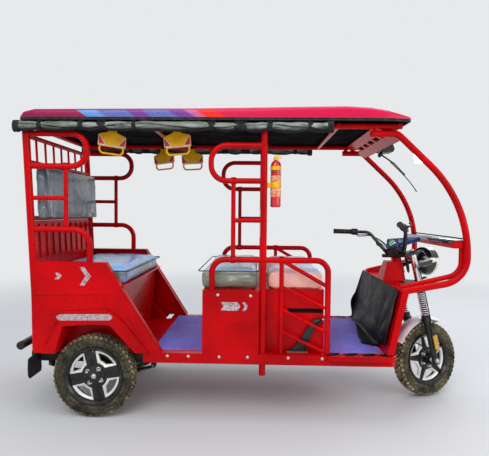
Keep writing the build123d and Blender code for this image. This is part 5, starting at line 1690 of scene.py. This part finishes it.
def box_dressing():
    """Louvres, stripe, a strip of painted shadow and bolts of the seat box, and the bolts of the sill."""
    louvres = tree_of(bars_in_row)
    stripe, slot = Build(), Build()
    points, aims = [], []
    for side in (1, -1):
        name = "left" if side > 0 else "right"
        out = side * 484.0
        place = CABIN @ Matrix.Translation((852, out + side * 0.5, 446))
        louvres.grow("box_louvres_" + name, "red_enamel", "root", "red_paint", place, Bars=9,
                     Step=(0.0, 0.0, 17.0), Bar_Size=(198.0, 7.0, 8.0))
        stripe.slab([(745, 652), (840, 652), (856, 676), (840, 700), (745, 700), (760, 676)],
                    out, out + side * 1.2)
        stripe.slab([(866, 652), (884, 652), (900, 676), (884, 700), (866, 700), (882, 676)],
                    out, out + side * 1.2)
        # A thin near-black strip on the box's side along the step of its panel: painted shadow.
        slot.slab([(1130, 628), (1334, 628), (1334, 654), (1130, 654)], side * 399, side * 400.8)
        for x, z, y in ((727, 740, 484), (914, 737, 484), (737, 384, 484), (899, 385, 484), (1130, 385, 484),
                        (1323, 384, 484), (440, 384, 484), (560, 384, 484)):
            points.append((x, side * y, z))
            aims.append((0, side, 0))
    stripe.done("box_stripes", "stripe_vinyl", "root", "red_paint")
    slot.done("box_slots", "dark_slot", "root", "dark_trim")
    tree_of(beads_on_points).grow("body_bolts", "zinc", "root", "steel", None, points, aims,
                                                     Bead_Size=(19.0, 19.0, 11.0))


def step_plates():
    """Step plates let into the sills beside the driver's floor, with leaf-shaped openings drawn as dark leaves of
    painted shade, and ridges.
    """
    tree = tree_of(bars_in_row)
    plate, nose = Build(), Build()
    for side in (1, -1):
        name = "left" if side > 0 else "right"
        outline = [(1352, side * 432), (1716, side * 432), (1738, side * 450), (1742, side * 478), (1728, side * 498),
                   (1706, side * 506), (1352, side * 506)][::side]
        plate.slab(outline, 401.5, 406.5, along="Z")
        lip = [(1353, side * 485), (1736, side * 485), (1724, side * 496), (1704, side * 504), (1353, side * 504)]
        plate.slab(lip[::side], 374, 402.5, along="Z")
        # The openings are near-black leaves laid on the plate: painted shade, not holes.
        for label, finish, start, bars, size, turn in (
                ("step_openings_", "dark_slot", 1388, 4, (86.0, 50.0, 1.8), 0.40),
                ("step_ridges_", "red_enamel", 1439, 3, (66.0, 8.0, 9.0), 0.70)):
            place = CABIN @ Matrix.Translation((start, side * 468, 407.0))
            tree.grow(label + name, finish, "root", "red_paint", place, Bars=bars, Step=(102.0, 0.0, 0.0),
                      Bar_Size=size, Bar_Turn=(0.0, 0.0, -turn * side))
        nose.slab([(1560, side * 424), (1690, side * 424), (1690, side * 414), (1560, side * 414)][::side], 402.5, 409,
                  along="Z")
    plate.done("step_plates", "red_enamel", "root", "red_paint", bevel=2.4, rounds=3)
    nose.done("step_edges", "bare_steel", "root", "steel", bevel=0.8)


def roof_dressing():
    """Skirt that carries the roof's skin over the edge of the ceiling board, and the black gutter below it."""
    skirt, drip = Build(), Build()
    plan = [(-407, 478), (-389, 496), (-322, 507), (620, 509), (1430, 507), (1573, 504), (1665, 498), (1730, 488),
            (1793, 470)]
    ring = [(x, y + 0.7) for x, y in plan] + [(x, -y - 0.7) for x, y in reversed(plan)]
    for z in (1724, 1734.5):
        drip.tube([(x, y, z) for x, y in ring], 3.4, sides=8, looped=True)
    for b, low, high in ((skirt, 1736.5, 1747.5), (drip, 1721.5, 1737.5)):
        b.skin([[(x, y, z) for x, y in ring] for z in (low, high)], capped=False)
    skirt.done("roof_skirt", "roof_gel", "root", "roof_skin", corner=50)
    drip.done("roof_gutter", "rubber", "root", "black_paint", corner=50)


def weld_beads():
    """Weld beads where the tubes meet."""
    b = Build()
    for side in (1, -1):
        y = side * 457.0
        for x, z, r in ((983, 940, 19.6), (983, 1590, 19.8), (983, 1389, 19.8), (983, 1165, 19.4), (1089, 940, 13.6),
                        (810, 940, 13.6), (810, 1389, 13.6), (-155, 1466, 13.6), (-155, 1103, 13.6),
                        (-155, 1283, 13.6)):
            sections = [(r, z - 2.2), (r + 2.6, z), (r, z + 2.2), (r - 1, z)]
            reach = 17.5 if r < 15 else 0
            for end in ((reach, -reach) if reach else (0,)):
                ring = [(a, h + end) for a, h in sections]
                b.hoop(ring, 22, Matrix.Translation((x, y, 0)))
    b.done("weld_beads", "red_enamel", "root", "red_paint", corner=60)


def number_plate():
    """Blank rear number plate on two screws."""
    b = Build()
    b.slab([(-100, 520), (-104, 524), (-104, 616), (-100, 620), (100, 620), (104, 616), (104, 524), (100, 520)],
           -344.4, -342.6, along="X")
    b.done("number_plate", "plate_white", "root", "steel", bevel=0.5)
    tree_of(fasteners).grow("plate_screws", "zinc", "root", "steel", None,
                                         [(-344.6, -70, 560), (-344.6, 70, 560)], [(-1, 0, 0)] * 2,
                                         Head_Across=10.0, Head_Height=5.0, Washer_Across=16.0)


# ---- stage --------------------------------------------------------------------------------
CAMERA_LENS = 33.1
CAMERA_AT = (951, -3017, 1211)
CAMERA_TURN, CAMERA_TILT, CAMERA_ROLL = 1.71, 88.0, 0.55


def camera():
    """Camera level with the seats on the right side, turned a little to the left and down."""
    data = bpy.data.cameras.new("camera")
    data.lens = CAMERA_LENS
    eye = bpy.data.objects.new("camera", data)
    turn, tilt, roll = (Matrix.Rotation(math.radians(angle), 4, axis) for angle, axis in (
        (CAMERA_TURN, "Z"), (CAMERA_TILT, "X"), (CAMERA_ROLL, "Z")))
    eye.matrix_world = Matrix.Translation(CABIN @ Vector(CAMERA_AT)) @ turn @ tilt @ roll
    bpy.context.scene.collection.objects.link(eye)
    bpy.context.scene.camera = eye


def area_light(name, spot, target, size, power, colour=(1, 1, 1)):
    """Large soft lamp aimed at a point."""
    data = bpy.data.lights.new(name, "AREA")
    data.shape = "RECTANGLE"
    data.size, data.size_y = size
    data.energy = power
    data.color = colour
    lamp = bpy.data.objects.new(name, data)
    lamp.location = spot
    lamp.rotation_euler = (Vector(target) - Vector(spot)).to_track_quat("-Z", "Y").to_euler()
    bpy.context.scene.collection.objects.link(lamp)


def seen_background(made):
    """1 where the camera, a mirror or glass looks at the backdrop."""
    path = made.add("ShaderNodeLightPath").outputs
    bounced = made.math("MAXIMUM", path["Is Glossy Ray"], path["Is Transmission Ray"])
    return made.math("MAXIMUM", path["Is Camera Ray"], bounced)


BACKDROP = (0.80, 0.815, 0.83, 1)


def floor():
    """Plain pale studio floor that fades into the backdrop far from the vehicle."""
    made = bmesh.new()
    bmesh.ops.create_circle(made, cap_ends=True, radius=60, segments=96)
    data = bpy.data.meshes.new("studio_floor")
    made.to_mesh(data)
    made.free()
    ground = bpy.data.objects.new("studio_floor", data)
    bpy.context.scene.collection.objects.link(ground)
    p = Paint("studio_floor")
    tone = p.blend(p.grain(0.8, 2), (0.64, 0.655, 0.67, 1), (0.68, 0.69, 0.70, 1))
    p.done(Base_Color=tone, Roughness=0.8, Specular_IOR_Level=0.2)
    away = p.add("ShaderNodeVectorMath", {0: p.place}, operation="LENGTH").outputs["Value"]
    share = p.step(away, 2.6, 7.0)
    glow = p.add("ShaderNodeEmission", {"Color": BACKDROP, "Strength": 1.0}).outputs[0]
    mixed = p.add("ShaderNodeMixShader", {0: p.math("MULTIPLY", share, seen_background(p)),
                                          1: p.shader.outputs[0], 2: glow}).outputs[0]
    p.tree.links.new(mixed, p.tree.nodes["Material Output"].inputs["Surface"])
    data.materials.append(p.material)


def world():
    """Even pale light, and a pale background where it is seen."""
    sky = bpy.data.worlds.new("studio")
    bpy.context.scene.world = sky
    sky.use_nodes = True
    made = NodeTree()
    made.tree = sky.node_tree
    made.tree.nodes.clear()
    light = made.add("ShaderNodeBackground", {"Color": (0.88, 0.93, 1.0, 1), "Strength": 0.62}).outputs[0]
    seen = made.add("ShaderNodeBackground", {"Color": BACKDROP, "Strength": 1.0}).outputs[0]
    mix = made.add("ShaderNodeMixShader", {0: seen_background(made), 1: light, 2: seen}).outputs[0]
    made.add("ShaderNodeOutputWorld", {0: mix})


def studio():
    """Camera, lamps, floor and backdrop."""
    camera()
    area_light("key", (-1.5, -4.5, 4.5), (0, 0, 0.8), (4, 3), 150, (1, 0.98, 0.95))
    area_light("front_fill", (3.8, -3.2, 2.2), (0.4, 0, 0.8), (3, 2.4), 60, (0.95, 0.97, 1))
    area_light("top", (0.5, 0, 5.0), (0, 0, 0), (5, 4), 90)
    area_light("rim", (3.5, 3.5, 3.0), (0, 0, 0.9), (3, 2), 60)
    floor()
    world()
    bpy.context.scene.view_settings.view_transform = "Standard"


# ---- settings -----------------------------------------------------------------------------
def length(name, description, value, low, high):
    """A length setting in metres."""
    return bpy.props.FloatProperty(name=name, description=description, default=value, min=low, max=high,
                                   unit="LENGTH", subtype="DISTANCE", precision=4)


def count(name, description, value, low, high):
    """A whole-number setting."""
    return bpy.props.IntProperty(name=name, description=description, default=value, min=low, max=high)


def colour(name, description, value):
    """A colour setting."""
    return bpy.props.FloatVectorProperty(name=name, description=description, default=value, size=4, min=0.0,
                                         max=1.0, subtype="COLOR")


class RickshawWheelSizes(bpy.types.PropertyGroup):
    """Sizes of the wheels' details"""
    tread_blocks: count("Tread blocks", "Blocks in each row round a tyre", 46, 20, 90)
    block_depth: length("Block depth", "Height of the tread blocks", 0.010, 0.004, 0.016)
    frame_band: length("Window band", "Width of the silver band inside each wheel window", 0.014, 0.006, 0.022)
    nut_across: length("Wheel nut", "Width of a wheel nut across its flats", 0.019, 0.012, 0.024)


class RickshawSoftSizes(bpy.types.PropertyGroup):
    """Fullness of the soft pieces"""
    crease: bpy.props.FloatProperty(name="Crease depth", description="Depth of the creases in the seat covers, as a "
                                    "share of the usual depth", default=1.0, min=0.0, max=2.0, subtype="FACTOR")
    curtain_sag: length("Curtain droop", "Droop of the rolled curtain between its straps", 0.009, 0.0, 0.03)


class RickshawFrontSizes(bpy.types.PropertyGroup):
    """Sizes of the steering's details"""
    spring_turns: bpy.props.FloatProperty(name="Spring turns", description="Turns of each fork spring", default=11.0,
                                          min=5.0, max=24.0)
    spring_wire: length("Spring wire", "Thickness of the fork springs' wire", 0.0068, 0.003, 0.01)
    grip_rings: count("Grip rings", "Raised rings on each handlebar grip", 12, 4, 30)
    cable_across: length("Cable", "Thickness of the cables tied to the bar", 0.006, 0.003, 0.009)


class RickshawColours(bpy.types.PropertyGroup):
    """Colours of the main finishes"""
    body_red: colour("Body red", "Sprayed enamel of the body and its tubes", rgb(206, 2, 10))
    body_shade: colour("Body shade", "Darker tone in the enamel", rgb(166, 1, 8))
    roof_rear: colour("Roof rear", "Roof skin at the rear", rgb(146, 6, 70))
    roof_front: colour("Roof front", "Roof skin at the front", rgb(212, 4, 70))
    band_blue: colour("Band blue", "Pale end of the roof band", rgb(97, 150, 219))
    band_violet: colour("Band violet", "Violet end of the roof band", rgb(96, 106, 178))
    band_flash: colour("Band flash", "Slanted flash of the roof band", rgb(250, 30, 20))
    # Seat blue is a painted reflection of the sky on the top of the rear seat's wrap.
    film_blue: colour("Seat blue", "Top of the rear seat cover", rgb(138, 190, 255))
    mat_violet: colour("Mat violet", "Floor mats", rgb(124, 120, 214))
    handle_yellow: colour("Handle yellow", "Grab handles", rgb(246, 190, 14))


GROUPS = {"rickshaw_wheels": RickshawWheelSizes, "rickshaw_soft": RickshawSoftSizes,
          "rickshaw_front": RickshawFrontSizes, "rickshaw_colours": RickshawColours}


# ---- operators ----------------------------------------------------------------------------
class RICKSHAW_OT_studio(bpy.types.Operator):
    """Makes the camera, the lamps, the floor and the backdrop"""
    bl_idname = "rickshaw.studio"
    bl_label = "Studio"

    def execute(self, context):
        studio()
        return {"FINISHED"}


class RICKSHAW_OT_paint_body(bpy.types.Operator):
    """Gives the panels, tubes and running gear their finishes"""
    bl_idname = "rickshaw.paint_body"
    bl_label = "Body paint"

    def execute(self, context):
        paint_body()
        return {"FINISHED"}


class RICKSHAW_OT_pressed_panels(bpy.types.Operator):
    """Adds the swages, louvres, beads and stripes of the side panels"""
    bl_idname = "rickshaw.pressed_panels"
    bl_label = "Pressed side panels"

    def execute(self, context):
        pressed_panels()
        return {"FINISHED"}


class RICKSHAW_OT_box_dressing(bpy.types.Operator):
    """Adds the louvres, stripes, painted shadow strips and bolts of the seat box"""
    bl_idname = "rickshaw.box_dressing"
    bl_label = "Seat box dressing"

    def execute(self, context):
        box_dressing()
        seat_box_fittings()
        return {"FINISHED"}


class RICKSHAW_OT_step_plates(bpy.types.Operator):
    """Lays the step plates into the sills"""
    bl_idname = "rickshaw.step_plates"
    bl_label = "Step plates"

    def execute(self, context):
        step_plates()
        return {"FINISHED"}


class RICKSHAW_OT_mats(bpy.types.Operator):
    """Lays the moulded floor mats"""
    bl_idname = "rickshaw.mats"
    bl_label = "Floor mats"

    def execute(self, context):
        mats()
        return {"FINISHED"}


class RICKSHAW_OT_roof(bpy.types.Operator):
    """Adds the skirt and the gutter moulding"""
    bl_idname = "rickshaw.roof"
    bl_label = "Roof skirt and gutter"

    def execute(self, context):
        roof_dressing()
        return {"FINISHED"}


class RICKSHAW_OT_curtains(bpy.types.Operator):
    """Rolls up both side curtains"""
    bl_idname = "rickshaw.curtains"
    bl_label = "Rolled curtains"

    def execute(self, context):
        curtain_roll(1)
        curtain_roll(-1)
        return {"FINISHED"}


class RICKSHAW_OT_seats(bpy.types.Operator):
    """Stuffs the cushions and the back pads"""
    bl_idname = "rickshaw.seats"
    bl_label = "Seats and back pads"

    def execute(self, context):
        seats()
        return {"FINISHED"}


class RICKSHAW_OT_shield_cover(bpy.types.Operator):
    """Hangs the vinyl cover on the leg shield"""
    bl_idname = "rickshaw.shield_cover"
    bl_label = "Leg shield cover"

    def execute(self, context):
        shield_cover()
        return {"FINISHED"}


class RICKSHAW_OT_grab_handles(bpy.types.Operator):
    """Hangs the four grab handles"""
    bl_idname = "rickshaw.grab_handles"
    bl_label = "Grab handles"

    def execute(self, context):
        grab_handles()
        return {"FINISHED"}


class RICKSHAW_OT_extinguisher(bpy.types.Operator):
    """Clips the extinguisher to its post"""
    bl_idname = "rickshaw.extinguisher"
    bl_label = "Fire extinguisher"

    def execute(self, context):
        extinguisher()
        return {"FINISHED"}


class RICKSHAW_OT_hand_brake(bpy.types.Operator):
    """Makes the parking brake lever"""
    bl_idname = "rickshaw.hand_brake"
    bl_label = "Parking brake"

    def execute(self, context):
        hand_brake()
        return {"FINISHED"}


class RICKSHAW_OT_screen_trim(bpy.types.Operator):
    """Adds the glass channel, the wiper and the dash top"""
    bl_idname = "rickshaw.screen_trim"
    bl_label = "Windscreen trim"

    def execute(self, context):
        screen_trim()
        return {"FINISHED"}


class RICKSHAW_OT_rear_fittings(bpy.types.Operator):
    """Makes the tail lamps, the flaps and the blank plate"""
    bl_idname = "rickshaw.rear_fittings"
    bl_label = "Rear fittings"

    def execute(self, context):
        tail_lamp_pair()
        rear_flaps()
        number_plate()
        return {"FINISHED"}


class RICKSHAW_OT_welds(bpy.types.Operator):
    """Runs weld beads round the tube joints"""
    bl_idname = "rickshaw.welds"
    bl_label = "Weld beads"

    def execute(self, context):
        weld_beads()
        return {"FINISHED"}


class RICKSHAW_OT_underneath(bpy.types.Operator):
    """Adds spring clamps, motor fins and bumper caps"""
    bl_idname = "rickshaw.underneath"
    bl_label = "Running gear details"

    def execute(self, context):
        underneath()
        return {"FINISHED"}


class RICKSHAW_OT_wheels(bpy.types.Operator):
    """Makes the tyres, treads and rim fittings"""
    bl_idname = "rickshaw.wheels"
    bl_label = "Wheels"

    def execute(self, context):
        wheels()
        return {"FINISHED"}


class RICKSHAW_OT_fork_dressing(bpy.types.Operator):
    """Winds the springs and adds sleeves, hoses and reflectors"""
    bl_idname = "rickshaw.fork_dressing"
    bl_label = "Fork"

    def execute(self, context):
        fork_dressing()
        return {"FINISHED"}


class RICKSHAW_OT_mudguard(bpy.types.Operator):
    """Makes the front mudguard and its stays"""
    bl_idname = "rickshaw.mudguard"
    bl_label = "Front mudguard"

    def execute(self, context):
        guard()
        return {"FINISHED"}


class RICKSHAW_OT_headlamp(bpy.types.Operator):
    """Makes the lamp bowl, hood, dish and lens"""
    bl_idname = "rickshaw.headlamp"
    bl_label = "Headlamp"

    def execute(self, context):
        headlamp()
        return {"FINISHED"}


class RICKSHAW_OT_bar_fittings(bpy.types.Operator):
    """Makes the grips, pods, levers and cables"""
    bl_idname = "rickshaw.bar_fittings"
    bl_label = "Handlebar fittings"

    def execute(self, context):
        bar_fittings()
        return {"FINISHED"}


class RICKSHAW_OT_instruments(bpy.types.Operator):
    """Makes the instrument housing and its dial"""
    bl_idname = "rickshaw.instruments"
    bl_label = "Instruments"

    def execute(self, context):
        instruments()
        return {"FINISHED"}


STEPS = (
    RICKSHAW_OT_studio, RICKSHAW_OT_paint_body, RICKSHAW_OT_pressed_panels,
    RICKSHAW_OT_box_dressing, RICKSHAW_OT_step_plates, RICKSHAW_OT_mats,
    RICKSHAW_OT_roof, RICKSHAW_OT_curtains, RICKSHAW_OT_seats,
    RICKSHAW_OT_shield_cover, RICKSHAW_OT_grab_handles, RICKSHAW_OT_extinguisher,
    RICKSHAW_OT_hand_brake, RICKSHAW_OT_screen_trim, RICKSHAW_OT_rear_fittings,
    RICKSHAW_OT_welds, RICKSHAW_OT_underneath, RICKSHAW_OT_wheels,
    RICKSHAW_OT_fork_dressing, RICKSHAW_OT_mudguard, RICKSHAW_OT_headlamp,
    RICKSHAW_OT_bar_fittings, RICKSHAW_OT_instruments,
)


class RICKSHAW_PT_looks(bpy.types.Panel):
    """Lists the settings and the steps that dress the rickshaw"""
    bl_label = "Rickshaw looks"
    bl_idname = "RICKSHAW_PT_looks"
    bl_space_type = "VIEW_3D"
    bl_region_type = "UI"
    bl_category = "Rickshaw"

    def draw(self, context):
        layout = self.layout
        for name, group in GROUPS.items():
            box = layout.box()
            box.label(text=group.__doc__)
            for setting in group.__annotations__:
                box.prop(getattr(context.scene, name), setting)
        column = layout.column(align=True)
        for step in STEPS:
            column.operator(step.bl_idname)


def register():
    """Registers the settings, the steps and the panel."""
    for made in (*GROUPS.values(), *STEPS, RICKSHAW_PT_looks):
        bpy.utils.register_class(made)
    for name, group in GROUPS.items():
        setattr(bpy.types.Scene, name, bpy.props.PointerProperty(type=group))


def unregister():
    """Takes them away again."""
    for name in GROUPS:
        delattr(bpy.types.Scene, name)
    for made in reversed((*GROUPS.values(), *STEPS, RICKSHAW_PT_looks)):
        bpy.utils.unregister_class(made)


def main():
    """Dresses the whole vehicle."""
    register()
    for step in STEPS:
        group, name = step.bl_idname.split(".")
        getattr(getattr(bpy.ops, group), name)()


if __name__ == "__main__":
    main()
